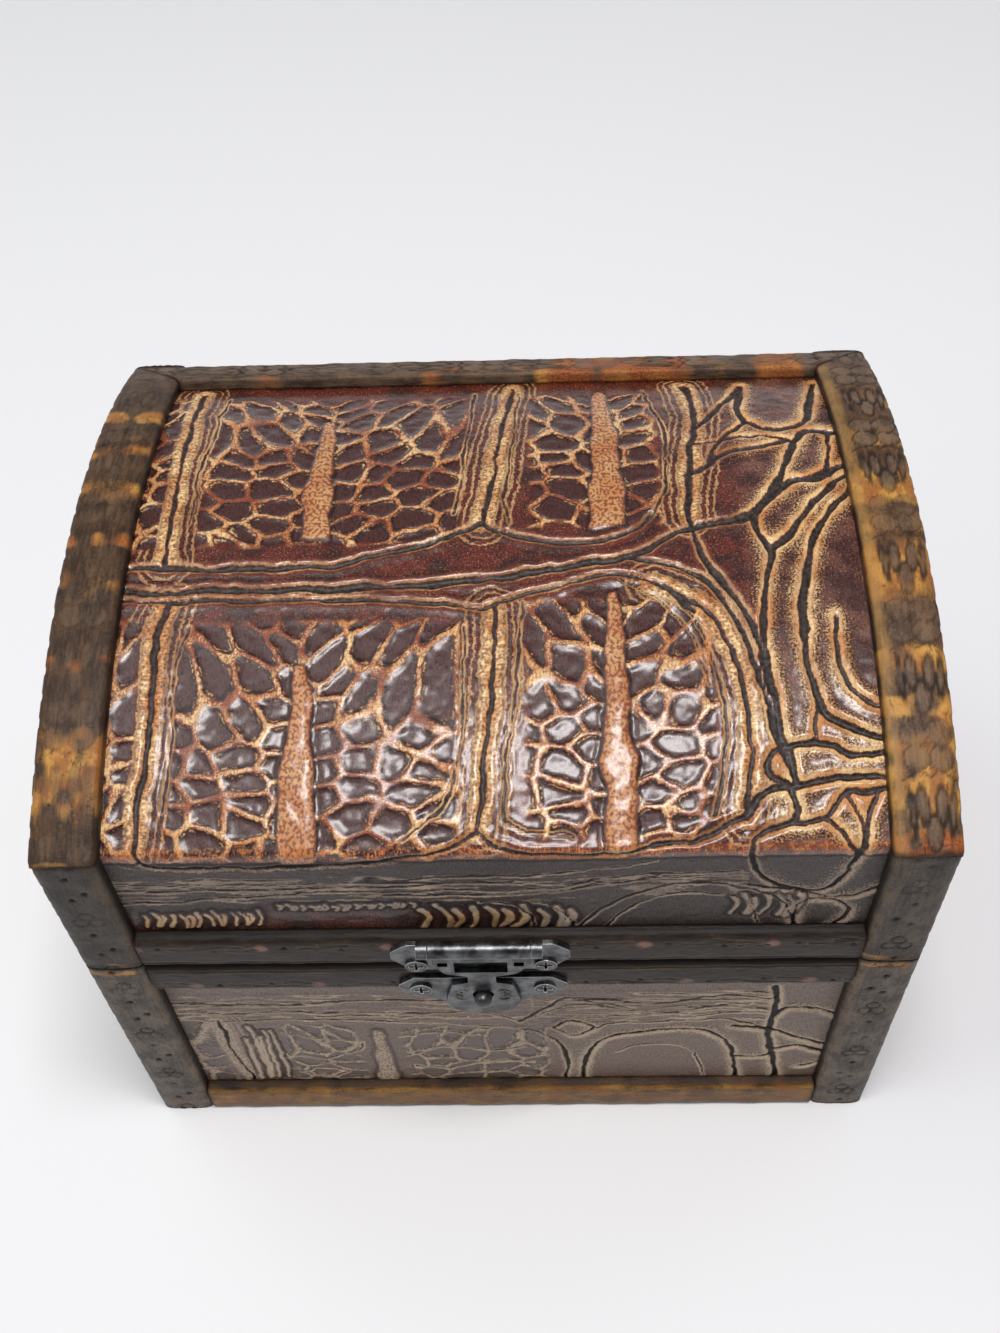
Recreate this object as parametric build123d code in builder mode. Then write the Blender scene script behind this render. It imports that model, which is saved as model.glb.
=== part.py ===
from build123d import *
from math import asin, atan2, cos, degrees, radians, sin, sqrt
import os

# A small domed jewelry chest: a box and a hinged lid of thin boards, covered in embossed leather
# and edged with flat wooden strips, closed by a swinging hasp on a stud.
# The front faces -Y, the origin is the middle of the footprint on the table.

# Driving dimensions, in millimetres
width = 165.0
depth = 130.0
seam_height = 75.0
seam_gap = 0.6
crease_height = 116.0
dome_half_angle = 27.0
strip_thickness = 3.0
strip_width = 10.5
corner_strip_width = 12.5
strip_rounding = 0.8
leather_thickness = 0.9
wall_thickness = 4.5
floor_thickness = 3.0
dome_board_thickness = 3.0
lining_thickness = 0.8
floor_pad_thickness = 1.5
lining_setback = 1.0

latch_x = -3.5
plate_thickness = 1.0
latch_axis_height = 86.3
latch_axis_proud = 2.0
barrel_radius = 1.8
barrel_length = 19.4
barrel_clearance = 0.25
latch_knuckle_length = 2.2
hasp_thickness = 1.0
hasp_back_gap = 0.25
pin_radius = 0.7
pin_clearance = 0.05
side_clearance = 0.15
upper_screw_spacing = 25.2
upper_screw_height = 78.2
lower_screw_spacing = 24.8
lower_screw_height = 67.6
plate_corner_rounding = 1.2
stud_height = 66.8
stud_neck_radius = 1.1
stud_ball_radius = 1.75
stud_ball_gap = 0.9
hasp_hole_radius = 2.15

hinge_x = 45.0
hinge_width = 18.0
hinge_leaf_height = 9.6
hinge_leaf_thickness = 0.9
knuckle_radius = 1.5
knuckle_gap = 0.1
knuckle_clearance = 0.15
knuckle_stand_off = 0.05
lid_opening = 110.0
stop_margin = 0.8
hinge_screw_spacing = 11.0
hinge_screw_drop = 6.2
stop_lug_length = 4.0
stop_lug_near = 2.0
stop_lug_height = 1.2

screw_shank_radius = 1.0
screw_length = 8.4
latch_screw_head_radius = 2.2
hinge_screw_head_radius = 1.8
screw_head_height = 0.6
pilot_clearance = 0.05
recess_width = 0.55
recess_depth = 0.45
recess_span = 1.3

# Worked out from the driving dimensions
half_width = width / 2
half_depth = depth / 2
lid_base = seam_height + seam_gap
dome_radius = half_depth / sin(radians(dome_half_angle))
dome_centre = crease_height - dome_radius * cos(radians(dome_half_angle))
leather_inset = strip_thickness
board_inset = strip_thickness + leather_thickness
inner_inset = board_inset + wall_thickness
leather_y, board_y, inner_y = (half_depth - inset for inset in (leather_inset, board_inset, inner_inset))
leather_x, board_x, inner_x = (half_width - inset for inset in (leather_inset, board_inset, inner_inset))
strip_inner_x = half_width - corner_strip_width
upright_inner_y = leather_y - strip_width
lid_front = -half_depth
latch_axis_y = lid_front - latch_axis_proud
hasp_back_y = lid_front - plate_thickness - hasp_back_gap
hinge_axis_y = half_depth + knuckle_radius + knuckle_stand_off
hinge_axis_z = seam_height + seam_gap / 2
ridge_angle = dome_half_angle - degrees(strip_width / dome_radius)

os.makedirs("parts", exist_ok=True)


def save(builder, name):
    builder.part.label = name
    export_step(builder.part, f"parts/{name}.step")


def dome_z(y, inset):
    """Height of the dome at depth y, on the surface that lies inset inside the outermost one."""
    return dome_centre + sqrt((dome_radius - inset) ** 2 - y**2)


def block(x_range, y_range, z_range):
    """A box between two corners, in the builder that is open."""
    size = [high - low for low, high in (x_range, y_range, z_range)]
    middle = tuple((high + low) / 2 for low, high in (x_range, y_range, z_range))
    with Locations(middle):
        Box(*size)


def pilot_holes(places, y_range, radius=screw_shank_radius):
    """Holes along Y for screws at the (x, z) places."""
    length = y_range[1] - y_range[0]
    with Locations([(x, sum(y_range) / 2, z) for x, z in places]):
        Cylinder(radius + pilot_clearance, length, rotation=(90, 0, 0), mode=Mode.SUBTRACT)


def domed_outline(y_edge, z_low, inset):
    """A face with Y to the right and Z up: flat at z_low, upright at both ends and domed above."""
    top = dome_z(y_edge, inset)
    with BuildSketch() as outline:
        with BuildLine():
            Polyline((-y_edge, top), (-y_edge, z_low), (y_edge, z_low), (y_edge, top))
            ThreePointArc((y_edge, top), (0, dome_centre + dome_radius - inset), (-y_edge, top))
        make_face()
    return outline.sketch


# Where the screws go, as (x, z)
upper_screws = [(latch_x + side * upper_screw_spacing / 2, upper_screw_height) for side in (-1, 1)]
lower_screws = [(latch_x + side * lower_screw_spacing / 2, lower_screw_height) for side in (-1, 1)]
hinge_places = [
    hinge + side * hinge_screw_spacing / 2 for hinge in (-hinge_x, hinge_x) for side in (-1, 1)
]
base_hinge_screws = [(x, hinge_axis_z - hinge_screw_drop) for x in hinge_places]
lid_hinge_screws = [(x, hinge_axis_z + hinge_screw_drop) for x in hinge_places]
front_cut = (-half_depth, -half_depth + screw_length)
back_cut = (half_depth - screw_length, half_depth)

# Box: boards, standing on the floor board
walls = (floor_thickness, seam_height)
with BuildPart() as base_floor:
    block((-board_x, board_x), (-board_y, board_y), (0, floor_thickness))
save(base_floor, "base_floor")

with BuildPart() as base_front_panel:
    block((-board_x, board_x), (-board_y, -inner_y), walls)
    pilot_holes(lower_screws, front_cut)
save(base_front_panel, "base_front_panel")

with BuildPart() as base_back_panel:
    block((-board_x, board_x), (inner_y, board_y), walls)
    pilot_holes(base_hinge_screws, back_cut)
save(base_back_panel, "base_back_panel")

for side, name in ((-1, "left"), (1, "right")):
    with BuildPart() as base_end_panel:
        block(sorted((side * inner_x, side * board_x)), (-inner_y, inner_y), walls)
    save(base_end_panel, f"base_{name}_end_panel")

# Box: leather on the four sides
with BuildPart() as base_front_leather:
    block((-leather_x, leather_x), (-leather_y, -board_y), (0, seam_height))
    pilot_holes(lower_screws, front_cut)
save(base_front_leather, "base_front_leather")

with BuildPart() as base_back_leather:
    block((-leather_x, leather_x), (board_y, leather_y), (0, seam_height))
    pilot_holes(base_hinge_screws, back_cut)
save(base_back_leather, "base_back_leather")

for side, name in ((-1, "left"), (1, "right")):
    with BuildPart() as base_end_leather:
        block(sorted((side * board_x, side * leather_x)), (-board_y, board_y), (0, seam_height))
    save(base_end_leather, f"base_{name}_end_leather")


def round_outer_edges(builder, outward, along):
    """Rounds the long edges of the face that looks outward."""
    face = builder.faces().sort_by(outward)[-1]
    fillet(face.edges().filter_by(along), strip_rounding)


# Box: corner strips on the front and back, from the table to the rim
for side_x, x_name in ((-1, "left"), (1, "right")):
    for side_y, y_name, outward in ((-1, "front", -Axis.Y), (1, "back", Axis.Y)):
        with BuildPart() as base_corner_strip:
            block(
                sorted((side_x * strip_inner_x, side_x * half_width)),
                sorted((side_y * leather_y, side_y * half_depth)),
                (0, seam_height),
            )
            round_outer_edges(base_corner_strip, outward, Axis.Z)
        save(base_corner_strip, f"base_{y_name}_{x_name}_corner_strip")

# Box: strips along the rim and the foot, between the corner strips
rim = (seam_height - strip_width, seam_height)
foot = (0, strip_width)
for side_y, y_name, outward, screws, cut in (
    (-1, "front", -Axis.Y, lower_screws, front_cut),
    (1, "back", Axis.Y, base_hinge_screws, back_cut),
):
    for z_range, z_name in ((rim, "rim"), (foot, "foot")):
        with BuildPart() as base_long_strip:
            block(
                (-strip_inner_x, strip_inner_x),
                sorted((side_y * leather_y, side_y * half_depth)),
                z_range,
            )
            round_outer_edges(base_long_strip, outward, Axis.X)
            if z_name == "rim":
                pilot_holes(screws, cut)
        save(base_long_strip, f"base_{y_name}_{z_name}_strip")

# Box: strips on the ends, two uprights and a rim and foot strip between them
for side, name, outward in ((-1, "left", -Axis.X), (1, "right", Axis.X)):
    end_x = sorted((side * leather_x, side * half_width))
    with BuildPart() as base_end_uprights:
        block(end_x, (-leather_y, -upright_inner_y), (0, seam_height))
        block(end_x, (upright_inner_y, leather_y), (0, seam_height))
    save(base_end_uprights, f"base_{name}_end_upright_strips")
    for z_range, z_name in ((rim, "rim"), (foot, "foot")):
        with BuildPart() as base_end_strip:
            block(end_x, (-upright_inner_y, upright_inner_y), z_range)
            round_outer_edges(base_end_strip, outward, Axis.Y)
        save(base_end_strip, f"base_{name}_end_{z_name}_strip")

# Box: lining, a floor pad and four wall sheets
pad_top = floor_thickness + floor_pad_thickness
lined = (pad_top, seam_height - lining_setback)
with BuildPart() as base_lining:
    block((-inner_x, inner_x), (-inner_y, inner_y), (floor_thickness, pad_top))
    for side in (-1, 1):
        block(
            (-inner_x, inner_x),
            sorted((side * (inner_y - lining_thickness), side * inner_y)),
            lined,
        )
        block(
            sorted((side * (inner_x - lining_thickness), side * inner_x)),
            (-inner_y + lining_thickness, inner_y - lining_thickness),
            lined,
        )
save(base_lining, "base_lining")

# Lid: front and back boards, whose tops follow the underside of the dome board
dome_underside = board_inset + dome_board_thickness
for side_y, y_name, screws, cut in (
    (-1, "front", upper_screws, front_cut),
    (1, "back", lid_hinge_screws, back_cut),
):
    with BuildPart() as lid_panel:
        with BuildSketch(Plane.YZ):
            outer, inner = side_y * board_y, side_y * inner_y
            with BuildLine():
                Polyline(
                    (outer, dome_z(outer, dome_underside)),
                    (outer, lid_base),
                    (inner, lid_base),
                    (inner, dome_z(inner, dome_underside)),
                )
                Line((inner, dome_z(inner, dome_underside)), (outer, dome_z(outer, dome_underside)))
            make_face()
        extrude(amount=board_x, both=True)
        pilot_holes(screws, cut)
    save(lid_panel, f"lid_{y_name}_panel")

# Lid: end boards with a domed top
for side, name in ((-1, "left"), (1, "right")):
    with BuildPart() as lid_end_panel:
        with BuildSketch(Plane.YZ.offset(side * inner_x)):
            add(domed_outline(inner_y, lid_base, dome_underside))
        extrude(amount=side * wall_thickness)
    save(lid_end_panel, f"lid_{name}_end_panel")

# Lid: the bent board that makes the dome
with BuildPart() as lid_dome_board:
    with BuildSketch(Plane.YZ):
        with BuildLine():
            ThreePointArc(
                (-board_y, dome_z(board_y, board_inset)),
                (0, dome_z(0, board_inset)),
                (board_y, dome_z(board_y, board_inset)),
            )
            Line((board_y, dome_z(board_y, board_inset)), (board_y, dome_z(board_y, dome_underside)))
            ThreePointArc(
                (board_y, dome_z(board_y, dome_underside)),
                (0, dome_z(0, dome_underside)),
                (-board_y, dome_z(board_y, dome_underside)),
            )
            Line((-board_y, dome_z(board_y, dome_underside)), (-board_y, dome_z(board_y, board_inset)))
        make_face()
    extrude(amount=board_x, both=True)
save(lid_dome_board, "lid_dome_board")

# Lid: one sheet of leather over the front, the dome and the back, and a piece on each end
with BuildPart() as lid_leather:
    with BuildSketch(Plane.YZ):
        add(domed_outline(leather_y, lid_base, leather_inset))
        add(domed_outline(board_y, lid_base, board_inset), mode=Mode.SUBTRACT)
    extrude(amount=leather_x, both=True)
    pilot_holes(upper_screws, front_cut)
    pilot_holes(lid_hinge_screws, back_cut)
save(lid_leather, "lid_dome_leather")

for side, name in ((-1, "left"), (1, "right")):
    with BuildPart() as lid_end_leather:
        with BuildSketch(Plane.YZ.offset(side * board_x)):
            add(domed_outline(board_y, lid_base, board_inset))
        extrude(amount=side * leather_thickness)
    save(lid_end_leather, f"lid_{name}_end_leather")

# Lid: strips down the front corner, over the dome and down the back corner, mitred at the creases
crease_outer = (half_depth, crease_height)
crease_inner = (leather_y, dome_z(leather_y, leather_inset))
mitre_rise = atan2(crease_outer[1] - crease_inner[1], crease_outer[0] - crease_inner[0])


def crease_plane(side_y):
    """The plane of the mitre at the front or back crease, its normal pointing up and inward."""
    return Plane(
        origin=(0, side_y * crease_outer[0], crease_outer[1]),
        x_dir=(1, 0, 0),
        z_dir=(0, -side_y * sin(mitre_rise), cos(mitre_rise)),
    )


def corner_mitre_plane(side_x, keep):
    """The upright plane of the mitre where a dome strip meets the back ridge strip."""
    run_x = corner_strip_width
    run_y = half_depth - dome_radius * sin(radians(ridge_angle))
    length = sqrt(run_x**2 + run_y**2)
    return Plane(
        origin=(side_x * half_width, half_depth, crease_height),
        x_dir=(0, 0, 1),
        z_dir=(keep * side_x * run_y / length, -keep * run_x / length, 0),
    )


for side_x, x_name in ((-1, "left"), (1, "right")):
    strip_x = side_x * (strip_inner_x + corner_strip_width / 2)
    pieces = (
        ("front", [crease_plane(-1)], [Keep.BOTTOM]),
        ("back", [crease_plane(1)], [Keep.BOTTOM]),
        ("dome", [crease_plane(-1), crease_plane(1), corner_mitre_plane(side_x, 1)], [Keep.TOP] * 3),
    )
    for y_name, planes, keeps in pieces:
        with BuildPart() as lid_corner_strip:
            with BuildSketch(Plane.YZ.offset(strip_x)):
                add(domed_outline(half_depth, lid_base, 0))
                add(domed_outline(leather_y, lid_base, leather_inset), mode=Mode.SUBTRACT)
            extrude(amount=corner_strip_width / 2, both=True)
            for plane, keep in zip(planes, keeps):
                split(bisect_by=plane, keep=keep)
            if y_name == "front":
                split(bisect_by=Plane.XZ, keep=Keep.TOP)
            if y_name == "back":
                split(bisect_by=Plane.XZ, keep=Keep.BOTTOM)
        suffix = "strip" if y_name == "dome" else "corner_strip"
        save(lid_corner_strip, f"lid_{y_name}_{x_name}_{suffix}")

# Lid: the ridge strip along the back edge of the dome
with BuildPart() as lid_ridge_strip:
    ridge_y = dome_radius * sin(radians(ridge_angle))
    with BuildSketch(Plane.YZ):
        add(domed_outline(half_depth, lid_base, 0))
        add(domed_outline(leather_y, lid_base, leather_inset), mode=Mode.SUBTRACT)
    extrude(amount=half_width, both=True)
    split(bisect_by=crease_plane(1), keep=Keep.TOP)
    ridge_start = Plane(
        origin=(0, ridge_y, dome_z(ridge_y, 0)),
        x_dir=(1, 0, 0),
        z_dir=(0, cos(radians(ridge_angle)), -sin(radians(ridge_angle))),
    )
    split(bisect_by=ridge_start, keep=Keep.TOP)
    split(bisect_by=corner_mitre_plane(-1, -1), keep=Keep.TOP)
    split(bisect_by=corner_mitre_plane(1, -1), keep=Keep.TOP)
save(lid_ridge_strip, "lid_back_ridge_strip")

# Lid: strips along the lower edge of the front and back
lip = (lid_base, lid_base + strip_width)
for side_y, y_name, outward, screws, cut in (
    (-1, "front", -Axis.Y, upper_screws, front_cut),
    (1, "back", Axis.Y, lid_hinge_screws, back_cut),
):
    with BuildPart() as lid_long_strip:
        block(
            (-strip_inner_x, strip_inner_x),
            sorted((side_y * leather_y, side_y * half_depth)),
            lip,
        )
        round_outer_edges(lid_long_strip, outward, Axis.X)
        pilot_holes(screws, cut)
    save(lid_long_strip, f"lid_{y_name}_lip_strip")

# Lid: an arched strip and a lip strip on each end
for side, name, outward in ((-1, "left", -Axis.X), (1, "right", Axis.X)):
    with BuildPart() as lid_end_arch:
        with BuildSketch(Plane.YZ.offset(side * leather_x)):
            add(domed_outline(leather_y, lid_base, leather_inset))
            add(domed_outline(upright_inner_y, lid_base, leather_inset + strip_width), mode=Mode.SUBTRACT)
        extrude(amount=side * strip_thickness)
    save(lid_end_arch, f"lid_{name}_end_arch_strip")
    with BuildPart() as lid_end_lip:
        block(
            sorted((side * leather_x, side * half_width)),
            (-upright_inner_y, upright_inner_y),
            lip,
        )
        round_outer_edges(lid_end_lip, outward, Axis.Y)
    save(lid_end_lip, f"lid_{name}_end_lip_strip")

# Lid: lining, a sheet under the dome and four wall sheets
lining_inset = dome_underside + lining_thickness
lid_lined = lid_base + lining_setback
with BuildPart() as lid_lining:
    with BuildSketch(Plane.YZ.offset(-inner_x)):
        add(domed_outline(inner_y, lid_lined, dome_underside))
        add(domed_outline(inner_y - lining_thickness, lid_lined, lining_inset), mode=Mode.SUBTRACT)
    extrude(amount=2 * inner_x)
    for side in (-1, 1):
        with BuildSketch(Plane.YZ.offset(side * inner_x)):
            add(domed_outline(inner_y - lining_thickness, lid_lined, lining_inset))
        extrude(amount=-side * lining_thickness)
save(lid_lining, "lid_lining")


def latch_plane(y):
    """A plane that faces the front at depth y, with X to the right and Y up from the table."""
    return Plane(origin=(latch_x, y, 0), x_dir=(1, 0, 0), z_dir=(0, -1, 0))


def latch_cylinder(radius, length, mode=Mode.ADD):
    """A cylinder on the axis that the hasp swings about."""
    with Locations((latch_x, latch_axis_y, latch_axis_height)):
        Cylinder(radius, length, rotation=(0, 90, 0), mode=mode)


def mirrored(right_side):
    """A closed outline, given its points on the right from top to bottom."""
    return [*right_side, *((-x, z) for x, z in reversed(right_side))]


def screw_group(places, y_face, outward, head_radius, name):
    """Cross-head screws at the (x, z) places, with their heads resting on the face at y_face."""
    with BuildPart() as screws:
        for x, z in places:
            facing = Plane(origin=(x, y_face, z), x_dir=(1, 0, 0), z_dir=(0, outward, 0))
            with BuildSketch(facing):
                Circle(head_radius)
            extrude(amount=screw_head_height)
            with BuildSketch(facing):
                Circle(screw_shank_radius)
            extrude(amount=-screw_length)
            with BuildSketch(facing.offset(screw_head_height)):
                Rectangle(head_radius * recess_span, recess_width)
                Rectangle(recess_width, head_radius * recess_span)
            extrude(amount=-recess_depth, mode=Mode.SUBTRACT)
    save(screws, name)


# Latch: upper plate on the lid, with an ear round each screw and a knuckle at each end of the barrel
knuckle_end = barrel_length / 2 + side_clearance + latch_knuckle_length
upper_plate_side = [
    (14.2, latch_axis_height),
    (17.3, 83.4),
    (17.3, 80.4),
    (13.4, lid_base + 0.2),
]
with BuildPart() as upper_plate:
    with BuildSketch(latch_plane(lid_front)):
        Polygon(*mirrored(upper_plate_side), align=None)
        fillet(vertices(), plate_corner_rounding)
    extrude(amount=plate_thickness)
    latch_cylinder(barrel_radius, 2 * knuckle_end)
    latch_cylinder(
        barrel_radius + barrel_clearance, barrel_length + 2 * side_clearance, Mode.SUBTRACT
    )
    latch_cylinder(pin_radius, 2 * knuckle_end, Mode.SUBTRACT)
    pilot_holes(upper_screws, (lid_front - plate_thickness, lid_front))
save(upper_plate, "latch_upper_plate")

with BuildPart() as hasp_pin:
    latch_cylinder(pin_radius, 2 * knuckle_end)
save(hasp_pin, "hasp_pin")

# Latch: the hasp, a barrel with a pierced tongue that hangs over the stud
hasp_side = [
    (9.2, latch_axis_height - 0.3),
    (9.4, 80.0),
    (7.0, 76.3),
    (2.75, 75.0),
    (2.75, 72.3),
    (6.0, 71.2),
    (7.6, 63.6),
    (5.9, 60.0),
    (2.2, 58.2),
]
hasp_window = (10.4, 76.9, 81.3)
hasp_slot = (2.0, 79.5, 81.2)
hasp_slot_spacing = 14.8
with BuildPart() as hasp:
    with BuildSketch(latch_plane(hasp_back_y)):
        Polygon(*mirrored(hasp_side), align=None)
        for (opening_width, low, high), spots in (
            (hasp_window, [0]),
            (hasp_slot, [-hasp_slot_spacing / 2, hasp_slot_spacing / 2]),
        ):
            with Locations([(x, (low + high) / 2) for x in spots]):
                Rectangle(opening_width, high - low, mode=Mode.SUBTRACT)
        with Locations((0, stud_height)):
            Circle(hasp_hole_radius, mode=Mode.SUBTRACT)
    extrude(amount=hasp_thickness)
    latch_cylinder(barrel_radius, barrel_length)
    latch_cylinder(pin_radius + pin_clearance, barrel_length, Mode.SUBTRACT)
save(hasp, "hasp")

# Latch: lower plate on the box, with an ear round each screw, and its ball-headed stud
lower_plate_side = [
    (13.6, 72.0),
    (17.0, 68.8),
    (15.8, 65.2),
    (9.0, 62.0),
    (6.0, 60.4),
]
with BuildPart() as lower_plate:
    with BuildSketch(latch_plane(lid_front)):
        Polygon(*mirrored(lower_plate_side), align=None)
        fillet(vertices(), plate_corner_rounding)
        with Locations((0, stud_height)):
            Circle(stud_neck_radius, mode=Mode.SUBTRACT)
    extrude(amount=plate_thickness)
    pilot_holes(lower_screws, (lid_front - plate_thickness, lid_front))
save(lower_plate, "latch_lower_plate")

ball_proud = plate_thickness + hasp_back_gap + hasp_thickness + stud_ball_gap
with BuildPart() as stud:
    with BuildSketch(latch_plane(lid_front)):
        with Locations((0, stud_height)):
            Circle(stud_neck_radius)
    extrude(amount=ball_proud)
    with Locations((latch_x, lid_front - ball_proud, stud_height)):
        Sphere(stud_ball_radius)
save(stud, "latch_stud")

screw_group(upper_screws, lid_front - plate_thickness, -1, latch_screw_head_radius, "latch_upper_screws")
screw_group(lower_screws, lid_front - plate_thickness, -1, latch_screw_head_radius, "latch_lower_screws")

# Hinges on the back: two leaves on one pin, with stop lugs that meet when the lid is open
knuckle = hinge_width / 3
half_stop = radians(lid_opening + stop_margin) / 2
lug_reach = stop_lug_near / (sin(half_stop) / cos(half_stop))
for side, x_name in ((-1, "left"), (1, "right")):
    middle = side * hinge_x
    leaf_x = (middle - hinge_width / 2, middle + hinge_width / 2)
    leaf_y = (half_depth, half_depth + hinge_leaf_thickness)
    for up, leaf_name, screws in ((-1, "base", base_hinge_screws), (1, "lid", lid_hinge_screws)):
        with BuildPart() as leaf:
            near = hinge_axis_z + up * seam_gap / 2
            far = hinge_axis_z + up * hinge_leaf_height
            block(leaf_x, leaf_y, sorted((near, far)))
            axis_place = (middle, hinge_axis_y, hinge_axis_z)
            own = [0] if up > 0 else [-knuckle, knuckle]
            other = [-knuckle, knuckle] if up > 0 else [0]
            with Locations([(middle + shift, hinge_axis_y, hinge_axis_z) for shift in other]):
                Cylinder(
                    knuckle_radius + knuckle_clearance,
                    knuckle + knuckle_gap,
                    rotation=(0, 90, 0),
                    mode=Mode.SUBTRACT,
                )
            with Locations([(middle + shift, hinge_axis_y, hinge_axis_z) for shift in own]):
                Cylinder(knuckle_radius, knuckle - knuckle_gap, rotation=(0, 90, 0))
            lug_z = sorted((stop_lug_near, stop_lug_near + stop_lug_height))
            block(
                (middle - stop_lug_length / 2, middle + stop_lug_length / 2),
                (half_depth + hinge_leaf_thickness / 2, hinge_axis_y + lug_reach),
                sorted(hinge_axis_z + up * z for z in lug_z),
            )
            with Locations(axis_place):
                Cylinder(
                    pin_radius + (pin_clearance if up > 0 else 0),
                    hinge_width,
                    rotation=(0, 90, 0),
                    mode=Mode.SUBTRACT,
                )
            own_screws = [(x, z) for x, z in screws if abs(x - middle) < hinge_width / 2]
            pilot_holes(own_screws, leaf_y)
        save(leaf, f"hinge_{x_name}_{leaf_name}_leaf")

with BuildPart() as hinge_pins:
    with Locations([(side * hinge_x, hinge_axis_y, hinge_axis_z) for side in (-1, 1)]):
        Cylinder(pin_radius, hinge_width, rotation=(0, 90, 0))
save(hinge_pins, "hinge_pins")

leaf_face = half_depth + hinge_leaf_thickness
screw_group(base_hinge_screws, leaf_face, 1, hinge_screw_head_radius, "hinge_base_screws")
screw_group(lid_hinge_screws, leaf_face, 1, hinge_screw_head_radius, "hinge_lid_screws")
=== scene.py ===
import math

import bmesh
import bpy
import numpy as np
from mathutils import Matrix


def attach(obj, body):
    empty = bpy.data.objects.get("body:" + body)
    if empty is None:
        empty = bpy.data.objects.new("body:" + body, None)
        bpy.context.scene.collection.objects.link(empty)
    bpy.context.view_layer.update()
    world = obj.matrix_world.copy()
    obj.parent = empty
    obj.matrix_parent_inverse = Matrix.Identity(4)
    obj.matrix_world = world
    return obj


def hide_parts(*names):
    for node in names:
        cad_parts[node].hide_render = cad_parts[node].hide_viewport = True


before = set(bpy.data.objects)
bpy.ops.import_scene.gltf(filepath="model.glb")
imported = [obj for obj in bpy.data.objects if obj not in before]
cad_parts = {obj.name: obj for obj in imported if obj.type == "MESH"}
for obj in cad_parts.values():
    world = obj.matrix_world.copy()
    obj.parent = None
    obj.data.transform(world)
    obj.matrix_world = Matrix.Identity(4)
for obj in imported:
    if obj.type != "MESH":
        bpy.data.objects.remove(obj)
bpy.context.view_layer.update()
metre = 0.001  # patterns are worked out in millimetres, meshes are in metres

# The chest's own sizes, as the frame has them
chest = {
    "halfWidth": 82.5,
    "halfDepth": 65.0,
    "crease": 116.0,
    "domeAngle": math.radians(27.0),
    "stripThick": 3.0,
    "hideThick": 0.9,
    "stripWidth": 10.5,
    "cornerWidth": 12.5,
    "rim": 75.0,
    "lidBase": 75.6,
    "boardIn": 8.4,  # inner face of the boards, behind the strips' outer face
    "liningThick": 0.8,
}
domeRadius = chest["halfDepth"] / math.sin(chest["domeAngle"])
domeCentre = chest["crease"] - domeRadius * math.cos(chest["domeAngle"])
arcLength = 2 * chest["domeAngle"] * domeRadius
hideY = chest["halfDepth"] - chest["stripThick"]
hideX = chest["halfWidth"] - chest["stripThick"]
boardY = hideY - chest["hideThick"]
stripInX = chest["halfWidth"] - chest["cornerWidth"]
hideRadius = domeRadius - chest["stripThick"]
hideEdge = math.asin(hideY / hideRadius)  # where the hide turns down, as an angle
hideTurn = domeRadius * (chest["domeAngle"] - hideEdge)  # the same place, along the arc
hideCrease = domeCentre + hideRadius * math.cos(hideEdge)


# ---- shader helpers
def mathNode(kind, turned=False):
    # a method that adds a Math node; turned is for a plain number left of the sign
    def method(self, *others):
        values = (*others, self) if turned else (self, *others)
        return self.recipe.node("Math", {"operation": kind}, dict(enumerate(values)))
    return method


class Wire:
    # one output of a shader tree, with arithmetic
    def __init__(self, recipe, socket):
        self.recipe = recipe
        self.socket = socket

    __add__ = mathNode("ADD")
    __radd__ = mathNode("ADD", turned=True)
    __sub__ = mathNode("SUBTRACT")
    __rsub__ = mathNode("SUBTRACT", turned=True)
    __mul__ = mathNode("MULTIPLY")
    __rmul__ = mathNode("MULTIPLY", turned=True)
    size = mathNode("ABSOLUTE")
    wave = mathNode("SINE")
    highest = mathNode("MAXIMUM")

    def step(self, low, high):
        # 0 below low, 1 above high, smooth between; low may be the larger
        settings = {"interpolation_type": "SMOOTHSTEP"}
        ends = {"Value": self, "From Min": low, "From Max": high}
        if low > high:
            ends = {"Value": self, "From Min": high, "From Max": low, "To Min": 1.0, "To Max": 0.0}
        return self.recipe.node("MapRange", settings, ends)


class Recipe:
    # a material, or a world, and the nodes that make it
    def __init__(self, name, kind="materials"):
        self.owner = getattr(bpy.data, kind).new(name)
        self.owner.use_nodes = True
        self.tree = self.owner.node_tree
        self.tree.nodes.clear()

    def node(self, kind, settings=None, sockets=None, output=0):
        made = self.tree.nodes.new("ShaderNode" + kind)
        for key, value in (settings or {}).items():
            setattr(made, key, value)
        for key, value in (sockets or {}).items():
            if isinstance(value, Wire):
                self.tree.links.new(value.socket, made.inputs[key])
            else:
                made.inputs[key].default_value = value
        return Wire(self, made.outputs[output]) if made.outputs else None

    def field(self, name, output="Fac"):
        return self.node("Attribute", {"attribute_name": name}, output=output)

    def noise(self, where, scale, detail=3.0, rough=0.55, distort=0.0):
        sockets = {"Vector": where, "Scale": scale, "Detail": detail, "Roughness": rough}
        return self.node("TexNoise", {}, {**sockets, "Distortion": distort})

    def place(self):
        return self.node("TexCoord", {}, {}, "Object")

    def stretch(self, where, factors):
        settings = {"operation": "MULTIPLY"}
        return self.node("VectorMath", settings, {0: where, 1: factors})

    def mix(self, amount, first, second):
        # colours; 6 and 7 are the colour inputs of a Mix node, 2 is its colour output
        return self.node("Mix", {"data_type": "RGBA"}, {0: amount, 6: first, 7: second}, 2)

    def bump(self, height, strength, distance):
        return self.node("Bump", {}, {"Height": height, "Strength": strength, "Distance": distance})

    def finish(self, **sockets):
        named = {key.replace("_", " "): value for key, value in sockets.items()}
        surface = self.node("BsdfPrincipled", {}, named)
        self.node("OutputMaterial", {}, {"Surface": surface})
        return self.owner


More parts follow.
